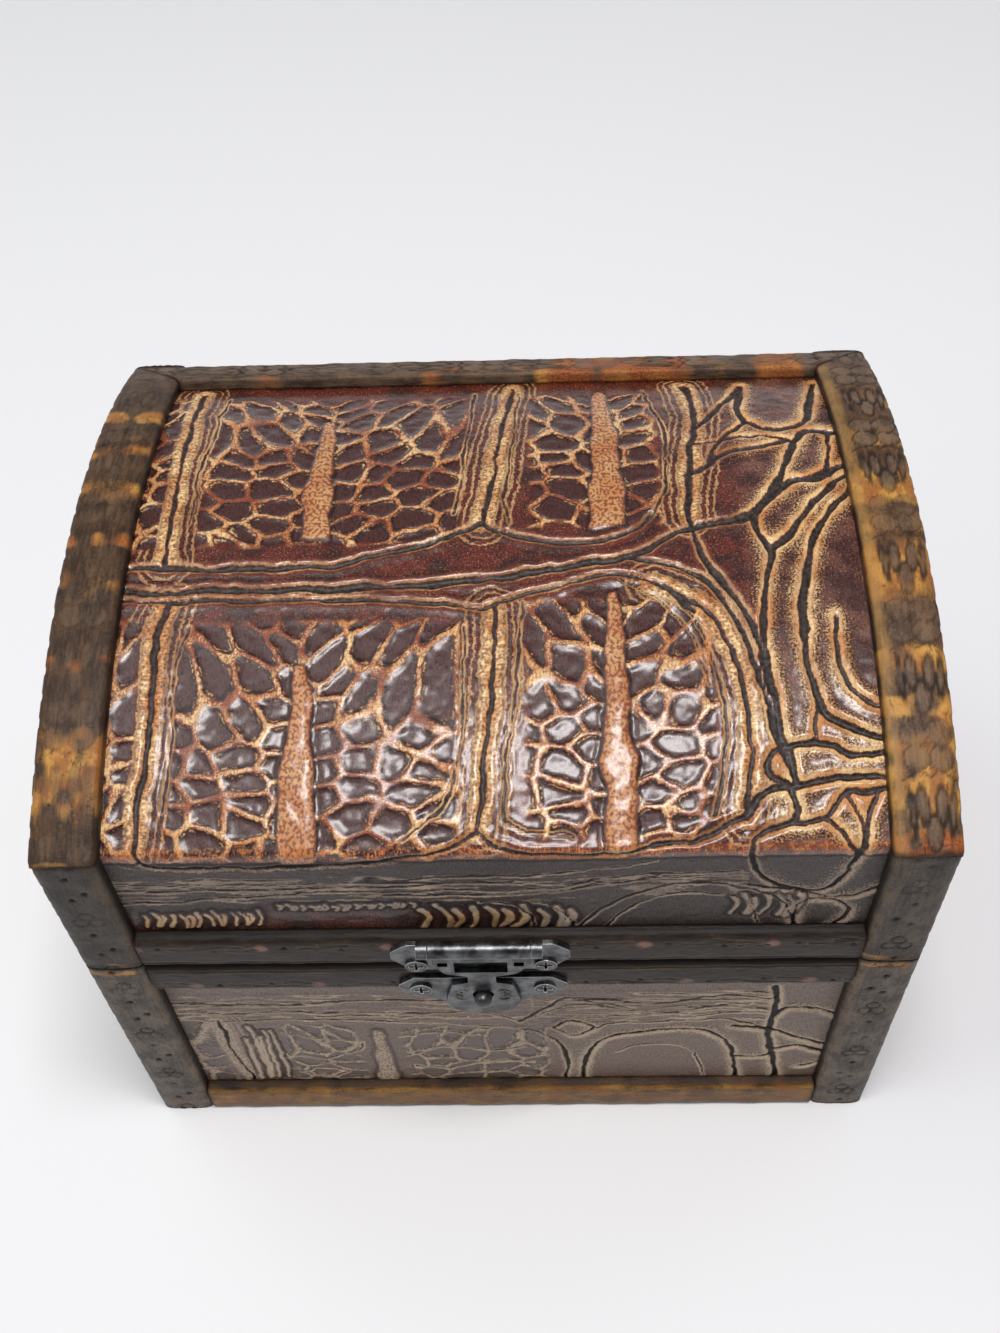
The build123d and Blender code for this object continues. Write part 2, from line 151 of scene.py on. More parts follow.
def paint(*shown):
    # a colour as a picture shows it, 0 to 255, turned to the linear values that shaders use
    shares = [value / 255 for value in shown]
    return (*(v / 12.92 if v <= 0.04045 else ((v + 0.055) / 1.055) ** 2.4 for v in shares), 1.0)


def paints(**shown):
    # named pairs of colours, between which a material varies
    return {name: [paint(*colour) for colour in pair] for name, pair in shown.items()}


# ---- small numpy tools for relief
def rampUp(value, low, high):
    part = np.clip((value - low) / (high - low), 0.0, 1.0)
    return part * part * (3 - 2 * part)


def softNoise(x, y, scale, seed):
    # smooth noise from -1 to 1, with features about scale mm across
    lattice = np.random.default_rng(seed).uniform(-1, 1, (64, 64))
    u, v = x / scale, y / scale
    cellU, cellV = np.floor(u), np.floor(v)
    partU, partV = u - cellU, v - cellV
    partU, partV = partU**2 * (3 - 2 * partU), partV**2 * (3 - 2 * partV)
    column, row = cellU.astype(int) % 64, cellV.astype(int) % 64
    nextColumn, nextRow = (column + 1) % 64, (row + 1) % 64
    low = lattice[row, column] * (1 - partU) + lattice[row, nextColumn] * partU
    high = lattice[nextRow, column] * (1 - partU) + lattice[nextRow, nextColumn] * partU
    return low * (1 - partV) + high * partV


def smoothRoute(points, step=1.3):
    # a curve through the points, as short runs
    spots = np.array(points, float)
    ends = np.vstack([2 * spots[0] - spots[1], spots, 2 * spots[-1] - spots[-2]])
    runs = []
    for before, start, stop, after in zip(ends[:-3], ends[1:-2], ends[2:-1], ends[3:]):
        count = max(2, int(np.linalg.norm(stop - start) / step))
        t = np.linspace(0, 1, count, endpoint=False)[:, None]
        bend = (2 * before - 5 * start + 4 * stop - after) * t**2
        bend += (-before + 3 * start - 3 * stop + after) * t**3
        runs.append(0.5 * (2 * start + (stop - before) * t + bend))
    return np.vstack([*runs, spots[-1:]])


def routeDistance(x, y, route, reach):
    # distance from each place to the route, capped at reach
    low, high = route.min(0) - reach, route.max(0) + reach
    near = (x > low[0]) & (x < high[0]) & (y > low[1]) & (y < high[1])
    nearX, nearY = x[near], y[near]
    best = np.full(nearX.shape, reach**2)
    for start, stop in zip(route[:-1], route[1:]):
        run = stop - start
        along = ((nearX - start[0]) * run[0] + (nearY - start[1]) * run[1]) / max(run @ run, 1e-9)
        along = np.clip(along, 0, 1)
        gapX, gapY = nearX - start[0] - along * run[0], nearY - start[1] - along * run[1]
        best = np.minimum(best, gapX**2 + gapY**2)
    result = np.full(x.shape, reach)
    result[near] = np.sqrt(best)
    return result


# ---- meshes
def makeMesh(name, places, faces, body, replaced, material, fields=None):
    mesh = bpy.data.meshes.new(name)
    mesh.from_pydata((places * metre).tolist(), [], faces)
    mesh.polygons.foreach_set("use_smooth", [True] * len(mesh.polygons))
    for key, values in (fields or {}).items():
        kind = "FLOAT_VECTOR" if values.ndim == 2 else "FLOAT"
        layer = mesh.attributes.new(key, kind, "POINT")
        layer.data.foreach_set("vector" if values.ndim == 2 else "value", values.ravel())
    mesh.materials.append(material)
    mesh.update()
    piece = bpy.data.objects.new(name, mesh)
    bpy.context.scene.collection.objects.link(piece)
    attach(piece, body)
    if replaced:
        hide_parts(*replaced)
    return piece


def gridFaces(rows, columns, offset=0, flip=False):
    grid = np.arange(rows * columns).reshape(rows, columns) + offset
    quads = np.stack([grid[:-1, :-1], grid[:-1, 1:], grid[1:, 1:], grid[1:, :-1]], -1)
    quads = quads.reshape(-1, 4)
    return (quads[:, ::-1] if flip else quads).tolist()


def between(low, high, step):
    return np.linspace(low, high, max(2, int(round((high - low) / step)) + 1))


# ---- the embossed hide
# Grooves of the sheet that covers the lid: width, then places across and up from the front crease.
lidHide = {
    "step": 0.48,  # between the points of its grid, in mm
    "busy": (46, 52),  # from here rightwards small crowded plates with pale rims
    "deep": [
        (1.7, [(-72, 59.7), (-52, 59), (-31, 59.5), (-14, 64.3), (-1.8, 69.5)]),
        (1.9, [(-72, 54), (-50, 53.8), (-25, 54), (-2, 55.6), (13, 57.7), (26, 60.7), (36, 66.7)]),
        (2.2, [(36, 66.7), (47, 68.8), (51.2, 71.2), (55.3, 76.2), (58.7, 79.8), (64.2, 80.8), (72, 85)]),
        (1.1, [(-72, 52), (-50, 51.4), (-25, 51.2), (-8, 49.8), (-1.6, 48.7)]),
        (1.0, [(-1.6, 48.7), (4.8, 51.4), (12.3, 53.3), (21, 56), (28, 55.5), (33.5, 52.5), (38, 47.6)]),
        (1.4, [(26, 60), (32.5, 58.5), (38.3, 55.5), (42.6, 51.4), (45.3, 46), (47.7, 39), (50.8, 26.4)]),
        (1.6, [(41, 118), (42, 105), (40.3, 93), (39, 78), (38.6, 68), (42, 56), (48, 46), (51, 31)]),
        (1.8, [(51.1, 70), (51.3, 66.3), (53.2, 61.6), (52.1, 55.7), (50.6, 44), (51.1, 31), (54, 13.1)]),
        (1.8, [(53.2, 61.6), (56.4, 64.6), (62, 72.6), (67, 78.6), (72, 82)]),
        (1.8, [(72, 79), (65.2, 70), (61.7, 64.4), (58.6, 51), (57.8, 40), (59.5, 28), (64, 24.3), (72, 21)]),
        (1.8, [(55.3, 76.2), (59.6, 87.5), (63.2, 96), (66.4, 97), (72, 95.5)]),
        (1.7, [(53.3, 118), (51.6, 105), (54.2, 100), (57.7, 97.4), (63.6, 99.6), (66.6, 107), (69, 118)]),
        (1.5, [(38.8, 82), (46.9, 89), (53.2, 91), (60.4, 93.5)]),
        (1.4, [(40.8, 98), (45.8, 104.2), (51, 112.4), (53, 118)]),
        (1.1, [(43, 86), (46.5, 93.5), (52.6, 101)]),
        (1.0, [(41, 93), (46.5, 93.5), (54, 95.5), (60, 94)]),
        (1.1, [(68.7, 96), (67.5, 87), (67.3, 81.4)]),
        (1.5, [(50.8, 26.4), (51.6, 20.2), (54, 13.1)]),
        (0.9, [(59, 28), (58.5, 20.5)]),
        (1.2, [(64, 45.7), (63.8, 36.9), (66, 30.5), (72, 26.5)]),
        (1.5, [(51.8, 20.2), (57.3, 20.8), (61.8, 20.1), (63.9, 18.5), (72, 18.8)]),
        (1.5, [(45, 7.4), (48.9, 12), (54, 13.1), (60.3, 14.2), (72, 14)]),
        (1.3, [(50.4, 19.7), (49.1, 15.5), (52.3, 13.1), (53.8, 9), (52.5, 6.7)]),
        (1.4, [(46.2, 3.4), (52.5, 6.7), (58.2, 7.2), (63.5, 11.8), (66.2, 11.2), (72, 13)]),
        (1.2, [(58.2, 7.2), (61.4, 4.9), (65, -0.3)]),
        (1.1, [(63.4, 11.2), (65.6, 5.5), (65, -0.3)]),
        (1.1, [(68.5, 12), (66.5, 6), (65.3, -0.3)]),
        (1.2, [(46.2, 3.4), (46.6, -1), (48.5, -7), (52, -11.4), (58.8, -13.4), (63.3, -8.2), (65, -0.3)]),
        (1.0, [
            (-64.2, 2.7), (-61.4, -1.7), (-47.5, -2.4), (-28.8, -2.1), (-18.2, -0.3), (-10.2, 2), (-2.7, 6),
        ]),
        (1.4, [(-1.8, 69.5), (5, 66.3), (13, 64.2), (21.5, 64.4), (27.5, 67), (31, 71)]),
        (1.2, [(-2.7, 6), (1.3, 2.8), (9, 0.7), (20.4, 0.8), (29.4, 2.7), (37.3, 4.1), (45, 7.4)]),
        (0.9, [(45.6, -10.2), (55.9, -14), (64.9, -15.5), (72, -10.8)]),
        (0.8, [(56, -27), (56.4, -17.8), (62.1, -16.7), (66.3, -20.5), (63.4, -27)]),
    ],
    "sides": [
        (1.2, [(-64.3, 119), (-63.8, 84), (-63, 60.5)]),
        (1.1, [(4, 119), (2, 101.5), (0, 84), (-1.8, 69.5)]),
        (1.0, [(0.4, 48.7), (0.6, 37.8), (-1, 23), (-1.9, 11.7), (-2.7, 6)]),
        (1.0, [(30.5, 54), (40.6, 47.5), (43.7, 40.6), (46, 31.4), (46.7, 23.4), (46.2, 14), (45, 7.4)]),
        (1.1, [(40.6, 118), (42, 105), (40.6, 93), (39, 78), (38.6, 70)]),
        (1.3, [(-61.2, 51), (-63, 42), (-62.5, 33), (-63, 21), (-63.7, 10), (-64.2, 2.7)]),
    ],
    "thin": [
        (0.7, [(27.5, 67), (32, 72), (34.5, 80), (35, 95), (34, 105), (32, 116)]),
        (0.6, [(5, 118), (4.6, 104), (3.4, 90), (2.2, 78), (3.5, 69.5)]),
        (0.7, [(6, 50), (5, 38), (3.4, 25), (2.2, 14), (3.5, 7), (14, 4.2)]),
        (0.7, [(26, 54), (33.9, 51.5), (39, 43), (41.2, 32.8), (42, 25), (41.8, 14.4), (39.5, 8)]),
        (0.5, [(24, 55), (32, 49.5), (37, 42), (39.4, 32)]),
        (0.6, [(-58, 116), (-58.8, 100), (-59.5, 84), (-59.5, 70)]),
        (0.6, [(-57, 46), (-59, 36), (-58.6, 24), (-59.5, 10)]),
        (0.6, [(-4.5, 116), (-5.5, 100), (-6, 84), (-7.5, 72)]),
        (0.6, [(-5, 45), (-5, 34), (-6, 22), (-9, 10), (-16, 4.5)]),
        (0.5, [(-72, -15.8), (-47.6, -13.7), (-25, -12), (8.2, -11.6), (23.5, -7.2), (45, -5.4)]),
        (0.5, [(-72, -8), (-52, -9), (-30, -9), (-8, -6.7), (12, -5.7), (29.5, -1.6)]),
        (0.5, [(-72, -10.5), (-40, -11), (-5, -9.2), (20, -9.5), (38, -7)]),
        (0.5, [(-20, -13.2), (0, -13.6), (18, -11.2), (30, -7.5)]),
        (0.8, [(15, -27), (18, -21), (26.6, -13.3), (38, -10), (48, -12.6), (54.3, -20), (56.7, -27)]),
        (0.6, [(20, -27), (24, -20), (31, -15), (40, -14), (47, -18), (50, -27)]),
        (0.6, [(-2.9, -16.3), (3, -17.7), (6, -22), (7, -27)]),
        (0.6, [(5, -16), (10, -17.9), (13.5, -22), (14.3, -27)]),
    ],
    "claws": [  # rows of short raised strokes: left, right, pitch, top, bottom
        (-67, -44, 1.7, -19, -24.5),
        (-41, -15, 1.5, -16.5, -18.6),
        (-14, 15, 3.1, -17.5, -26.5),
        (44, 57, 2.0, -14, -22),
    ],
    "waves": [(-72, 46, -15.5, -6.0, 2.0)],  # fields of wavy lines: left, right, bottom, top, pitch
    "plates": [  # left, right, bottom, top of celled ground, then its keel: middle, half width, bottom, top
        (-58, -6.5, 65, 114, -34.6, 3.1, 66, 104),
        (7.5, 33.0, 69, 114, 22.6, 3.5, 68, 116),
        (-58.5, -6.5, 0.5, 46, -35.0, 3.4, -1, 38),
        (6.5, 40.5, 4.5, 50, 23.0, 2.7, 1.5, 52),
        (-72, -65.5, 2, 47, -80, 0.1, 0, 1),
        (-72, -66, 64, 116, -80, 0.1, 0, 1),
    ],
}
# The box's front: places across and up from the table.
boxHide = {
    "step": 0.46,
    "busy": (9, 17),
    "deep": [
        (1.0, [(3.2, 38.3), (7.9, 35.5), (12.1, 28.9), (13.5, 18), (13.2, 6)]),
        (1.2, [(17.2, 6), (17.6, 20), (20.5, 30), (27, 35.2), (40, 37), (45.6, 34.5), (50, 26), (52.5, 6)]),
        (1.6, [(55.9, 58), (57.6, 47), (56.8, 34.5), (59.4, 22.4), (61.5, 6)]),
        (1.5, [(49.5, 38.5), (57.5, 36.2), (64, 31), (72, 27.5)]),
        (1.3, [(51, 22), (55.5, 21.6), (59.6, 23)]),
        (1.3, [(59, 25), (64, 27.6), (72, 23)]),
        (1.0, [(66, 16), (72, 20)]),
        (0.9, [(10.5, 38.5), (14.7, 42.3), (19, 39), (14.7, 34), (10.5, 38.5)]),
        (1.1, [(57.4, 42), (60, 47), (66, 47), (72, 42)]),
    ],
    "sides": [(0.9, [(-61.8, 43.5), (-61.6, 32), (-60.3, 19), (-58.6, 6)])],
    "thin": [
        (0.7, [(-72, 52.6), (-59, 51.5), (-47, 51.2), (-32, 52.6), (-8, 53)]),
        (0.6, [(-72, 48.3), (-57.5, 46.8), (-42.6, 47.8), (-28, 46.7), (-5, 46.2), (3.5, 42.4)]),
        (0.6, [(-72, 45), (-60.6, 43.3), (-48.2, 43.8), (-33.3, 43.3), (-18.6, 42), (3.2, 38.3)]),
        (0.5, [(-40, 45.4), (-25, 45), (-8, 44.2)]),
        (0.8, [(3.3, 42.1), (9, 49), (14, 53.6), (24, 51.4), (34, 50.1), (46.4, 53.4), (57, 52)]),
        (0.6, [(8, 46), (16.2, 50.5), (26.5, 46.6), (39.2, 48.7), (57, 47.1)]),
        (0.7, [(18.5, 38), (24.2, 40.4), (34.6, 40.9), (44.8, 42.2), (52, 40), (57.5, 36)]),
        (0.6, [(12, 54), (30, 46.5), (40, 44.5), (50, 45.5)]),
        (0.6, [(22, 43.5), (33, 44.8), (44, 48.5), (52, 50)]),
        (0.6, [(24.5, 24.5), (28, 28), (32.5, 28.8), (40.7, 26.5), (43.7, 17.1), (44.6, 6)]),
        (0.5, [(-48.5, 36.5), (-42, 33.5), (-32, 32)]),
        (0.5, [(-50.5, 26), (-42, 22.5), (-33, 27), (-32, 31)]),
        (0.5, [(-48, 14.6), (-42.5, 17.4), (-36.5, 15.2), (-42.5, 11.8), (-48, 14.6)]),
        (0.5, [(-23, 34), (-14, 36.2), (-6, 34.6)]),
        (0.5, [(-22, 26), (-13, 28.4), (-4, 26), (4, 28)]),
        (0.5, [(-21, 18), (-12, 16.8), (-3, 20.4), (6, 19)]),
    ],
    "claws": [(-57.5, -50.5, 1.5, 41, 12)],
    "waves": [(-72, 6, 43.5, 56, 2.3), (6, 56, 41.5, 56, 2.0)],
    "plates": [
        (-50, -33, 8, 41, -27.9, 2.6, 4, 38),
        (-22.5, 9, 8, 39, -27.9, 2.6, 4, 38),
        (-72, -63.5, 8, 46, -90, 0.1, 0, 1),
    ],
}


cellSize = {"across": 5.4, "up": 5.2, "stretch": 1.35, "astray": 1.9, "margin": 6}  # in mm


def cellGround(x, s, plate, seed):
    # distance to the border between the irregular cells of one plate, in mm
    left, right, bottom, top, keel = plate[:5]
    lean = 0.12 + 0.55 * rampUp((s - bottom) / (top - bottom), 0.45, 1.0)
    stretch, margin, astray = (cellSize[key] for key in ("stretch", "margin", "astray"))
    u, v = (x - keel) / stretch, s - lean * np.abs(x - keel)
    rng = np.random.default_rng(seed)
    edges = (left - keel) / stretch - margin, (right - keel) / stretch + margin
    columns = np.arange(*edges, cellSize["across"])
    rows = np.arange(v.min() - 5, v.max() + 5, cellSize["up"])
    gridU, gridV = np.meshgrid(columns, rows)
    gridV[:, ::2] += cellSize["up"] / 2
    seeds = np.stack([gridU.ravel(), gridV.ravel()], 1)
    seeds += rng.uniform(-astray, astray, seeds.shape)
    nearest = np.full(x.shape, 1e9)
    second = np.full(x.shape, 1e9)
    for spotU, spotV in seeds:
        gap = (u - spotU) ** 2 + (v - spotV) ** 2
        second = np.where(gap < nearest, nearest, np.minimum(second, gap))
        nearest = np.minimum(nearest, gap)
    return (np.sqrt(second) - np.sqrt(nearest)) / 2


farAway = 7.0  # distances to a mark aren't worked out beyond this, in mm


def embossFields(x, s, hide, seed):
    # what the press left at each place: distances that the material and the relief both use
    wobbleX, wobbleS = x.copy(), s.copy()
    for count, (scale, reach) in enumerate(((6.0, 0.5), (2.2, 0.28), (1.0, 0.14))):
        wobbleX += reach * softNoise(x, s, scale, seed + count)
        wobbleS += reach * softNoise(x, s, scale, seed + 5 + count)
    swell = 1 + 0.35 * softNoise(x, s, 5.0, seed + 4)
    groove, side, hair, claw = (np.full(x.shape, farAway) for kind in range(4))
    for kind, target in (("deep", groove), ("sides", groove), ("thin", hair)):
        for width, points in hide[kind]:
            gap = routeDistance(wobbleX, wobbleS, smoothRoute(points), farAway)
            np.minimum(target, gap - width * 0.38 * swell, out=target)
            if kind == "sides":
                np.minimum(side, gap, out=side)
    for start, stop, pitch, low, high in hide["claws"]:
        for count, spot in enumerate(np.arange(start, stop, pitch)):
            lean = 0.45 * pitch * math.sin(count * 1.9)
            drop = low + (high - low) * (0.12 + 0.12 * math.cos(count * 2.7))
            stroke = [(spot, drop), (spot + 0.4 * pitch + lean / 2, (low + high) / 2), (spot + lean, high)]
            gap = routeDistance(wobbleX, wobbleS, smoothRoute(stroke), farAway)
            np.minimum(claw, gap - 0.16 * pitch * swell, out=claw)
    for count, (left, right, low, high, pitch) in enumerate(hide["waves"]):
        drift = s + 2.4 * softNoise(x / 6, s, 5.0, seed + 40 + count)
        drift += 0.7 * softNoise(x / 2.2, s, 3.0, seed + 42)
        wave = np.abs((drift / pitch) % 1 - 0.5) * pitch
        wave = wave - 0.12 - 0.12 * softNoise(x / 3, s, 2.0, seed + 43)
        wave = wave + 0.6 * rampUp(softNoise(x / 4, s, 2.6, seed + 44), 0.15, 0.5)
        outside = np.maximum(np.maximum(left - x, x - right), np.maximum(low - s, s - high))
        np.minimum(hair, np.maximum(wave, outside + 0.2), out=hair)
    cell = np.full(x.shape, 6.0)
    keel = np.full(x.shape, -6.0)
    ground = np.full(x.shape, -6.0)
    for count, plate in enumerate(hide["plates"]):
        left, right, bottom, top, middle, half, low, high = plate
        inside = np.minimum(wobbleX - left, right - wobbleX)
        inside = np.minimum(inside, np.minimum(wobbleS - bottom, top - wobbleS))
        here = inside > -3
        if here.any():
            border = cellGround(wobbleX[here], wobbleS[here], plate, seed + 20 + count)
            keep = inside[here] > ground[here]
            cell[here] = np.where(keep, np.minimum(border, inside[here] + 2.2), cell[here])
            ground[here] = np.maximum(ground[here], inside[here])
        taper = np.clip((high - wobbleS) / 34, 0, 1) ** 0.6
        strip = half * (0.25 + 0.75 * taper) * (1 + 0.2 * softNoise(x * 0, s, 6.0, seed + 9))
        across = strip - np.abs(wobbleX - middle)
        along = np.minimum(wobbleS - low, high - wobbleS)
        np.maximum(keel, np.minimum(across, along), out=keel)
    fade = 0.5 + 0.6 * softNoise(x, s, 7.0, seed + 15) + 0.35 * softNoise(x, s, 2.5, seed + 16)
    return {
        "gap": np.clip(groove, -1.5, 6.0),
        "hair": np.clip(hair, -0.6, 6.0),
        "claw": np.clip(claw, -0.6, 6.0),
        "side": np.clip(side, 0.0, 7.0),
        "cell": np.where(ground > -3, cell, 6.0),
        "keel": np.clip(keel, -6.0, 6.0),
        "ground": np.clip(ground, -6.0, 6.0),
        "fade": np.clip(fade, 0.0, 1.0),
        "busy": rampUp(x, *hide["busy"]),
        "crest": 0 * x,
        "pale": 0 * x,
    }


relief = {  # heights and depths of what the press left, in mm
    "groove": 0.66,
    "grooveRim": 0.26,
    "hair": 0.3,
    "hairRim": 0.12,
    "claw": 0.3,
    "clawEdge": 0.2,
    "net": 0.24,
    "pit": 0.15,
    "pitMiddle": 0.04,
    "keel": 0.4,
    "keelEdge": 0.2,
    "wrinkle": 0.11,
    "grain": 0.06,
    "swell": 0.1,
}


def embossHeight(x, s, fields, seed):
    # relief from the same distances
    gap, hair, cell, keel = (fields[key] for key in ("gap", "hair", "cell", "keel"))
    ground = rampUp(fields["ground"], -1.0, 1.0)
    height = -relief["groove"] * (1 - rampUp(gap, -0.6, 0.45))
    height += relief["grooveRim"] * np.exp(-(((gap - 1.0) / 0.8) ** 2))
    height -= relief["hair"] * (1 - rampUp(hair, -0.3, 0.3))
    claw = relief["claw"] * (1 - rampUp(fields["claw"], -0.3, 0.4))
    height += claw - relief["clawEdge"] * np.exp(-(((fields["claw"] - 0.8) / 0.4) ** 2))
    height += relief["hairRim"] * np.exp(-(((hair - 0.65) / 0.45) ** 2))
    offKeel = 1 - rampUp(keel, -0.9, 0.2)
    net = relief["net"] * ((1 - rampUp(cell, 0.1, 0.9)) * (0.35 + 0.65 * fields["fade"]))
    net = net - relief["pit"] * rampUp(cell, 0.4, 1.3) + relief["pitMiddle"] * rampUp(cell, 1.2, 2.6)
    height += ground * offKeel * net
    height += relief["keel"] * rampUp(keel, -0.6, 1.4)
    height -= relief["keelEdge"] * np.exp(-(((keel + 0.8) / 0.5) ** 2))
    wrinkled = rampUp(fields["side"], 2.2, 2.8) * (1 - rampUp(fields["side"], 5.0, 6.2))
    lines = np.sin(fields["side"] * 4.4 + 2.6 * softNoise(x, s, 2.4, seed + 12))
    height += relief["wrinkle"] * wrinkled * lines * (1 - ground)
    grain = relief["grain"]
    height += grain * softNoise(x, s, 1.0, seed + 13) + grain * softNoise(x, s, 2.3, seed + 14)
    return height + relief["swell"] * softNoise(x, s, 14.0, seed + 17)


def hideProfile():
    # the lid's outer hide in section: front, dome and back, with softened creases
    step = 0.1
    front = [(-hideY, z) for z in np.arange(chest["lidBase"], hideCrease, step)]
    angles = np.arange(-hideEdge, hideEdge, step / hideRadius)
    dome = [(hideRadius * math.sin(a), domeCentre + hideRadius * math.cos(a)) for a in angles]
    back = [(hideY, z) for z in np.arange(hideCrease, chest["lidBase"], -step)]
    line = np.array(front + dome + back)
    along = np.concatenate([[0], np.cumsum(np.linalg.norm(np.diff(line, axis=0), axis=1))])
    along += hideTurn - (hideCrease - chest["lidBase"])
    reach = 16  # steps to each side over which a crease is softened
    kernel = np.hanning(2 * reach + 1)
    kernel /= kernel.sum()
    padded = np.pad(line, ((reach, reach), (0, 0)), mode="reflect", reflect_type="odd")
    soft = np.stack([np.convolve(padded[:, k], kernel, mode="valid") for k in (0, 1)], 1)
    return along, soft


profileAlong, profileLine = hideProfile()
profileLow, profileHigh = profileAlong[0], profileAlong[-1]


def lidPlace(x, s, height):
    # a place on the lid's hide: x across, s up from the front crease, height outward
    y = np.interp(s, profileAlong, profileLine[:, 0])
    z = np.interp(s, profileAlong, profileLine[:, 1])
    beforeY, beforeZ = (np.interp(s - 0.4, profileAlong, profileLine[:, k]) for k in (0, 1))
    afterY, afterZ = (np.interp(s + 0.4, profileAlong, profileLine[:, k]) for k in (0, 1))
    runY, runZ = afterY - beforeY, afterZ - beforeZ
    size = np.hypot(runY, runZ)
    return np.stack([x, y - runZ / size * height, z + runY / size * height], -1)


def hidePiece(name, node, body, x, s, place, pressed, hidden, flip=False, **looks):
    # a skin over a grid, whose rim turns in to the board; pressed is the pattern, its seed and
    # the places that the pattern is read at, looks are the fields that differ from face to face
    pattern, seed, patternX, patternS = pressed
    fields = embossFields(patternX, patternS, pattern, seed)
    height = embossHeight(x, s, fields, seed) * hidden
    height[:, [0, -1]] = height[[0, -1], :] = -chest["hideThick"]
    fields.update({key: 0 * x + value for key, value in looks.items()})
    flat = {key: values.ravel() for key, values in fields.items()}
    flat["sheet"] = np.stack([x.ravel(), s.ravel(), 0 * x.ravel()], 1)
    spots = place(x, s, height).reshape(-1, 3)
    faces = gridFaces(*x.shape, flip=flip)
    makeMesh(name, spots, faces, body, [node], hideMaterial, flat)


def hideGrid(low, high, seenLow, seenHigh, step):
    # close rows where the hide shows, a few where a strip covers it
    fine = between(seenLow - 0.6, seenHigh + 0.6, step)
    return np.concatenate([[low, low], [seenLow - 0.9], fine, [seenHigh + 0.9], [high, high]])


def seenPart(values, low, high):
    return rampUp(values, low - 0.5, low + 0.3) * (1 - rampUp(values, high - 0.3, high + 0.5))


# Pairs of colours: the dome's, the front band's in shadow, the box front's in pale light
hideTints = paints(
    dome=((96, 31, 20), (56, 20, 17)),
    crowded=((112, 76, 64), (66, 34, 32)),
    shadowed=((70, 57, 53), (38, 31, 29)),
    greyed=((128, 108, 97), (92, 75, 65)),
    rust=((150, 68, 34), (92, 33, 20)),
    rustFront=((62, 51, 47), (98, 83, 74)),
    pit=((74, 38, 33), (38, 20, 19)),
    pitFront=((66, 56, 53), (110, 95, 87)),
    gold=((248, 212, 150), (212, 150, 88)),
    goldFront=((164, 146, 130), (198, 178, 153)),
    goldWorn=((128, 78, 46), (190, 126, 70)),  # where it is brushed off, and on the keels
    groove=((28, 22, 20), (70, 58, 52)),
    grooveFront=((24, 18, 17), (32, 24, 21)),
    # painted shade at the edges of the relief
    brink=((22, 10, 9), (36, 27, 24)),
    edges=((32, 18, 18), (214, 122, 50)),  # dark brush strokes, and the burr of the crease
)


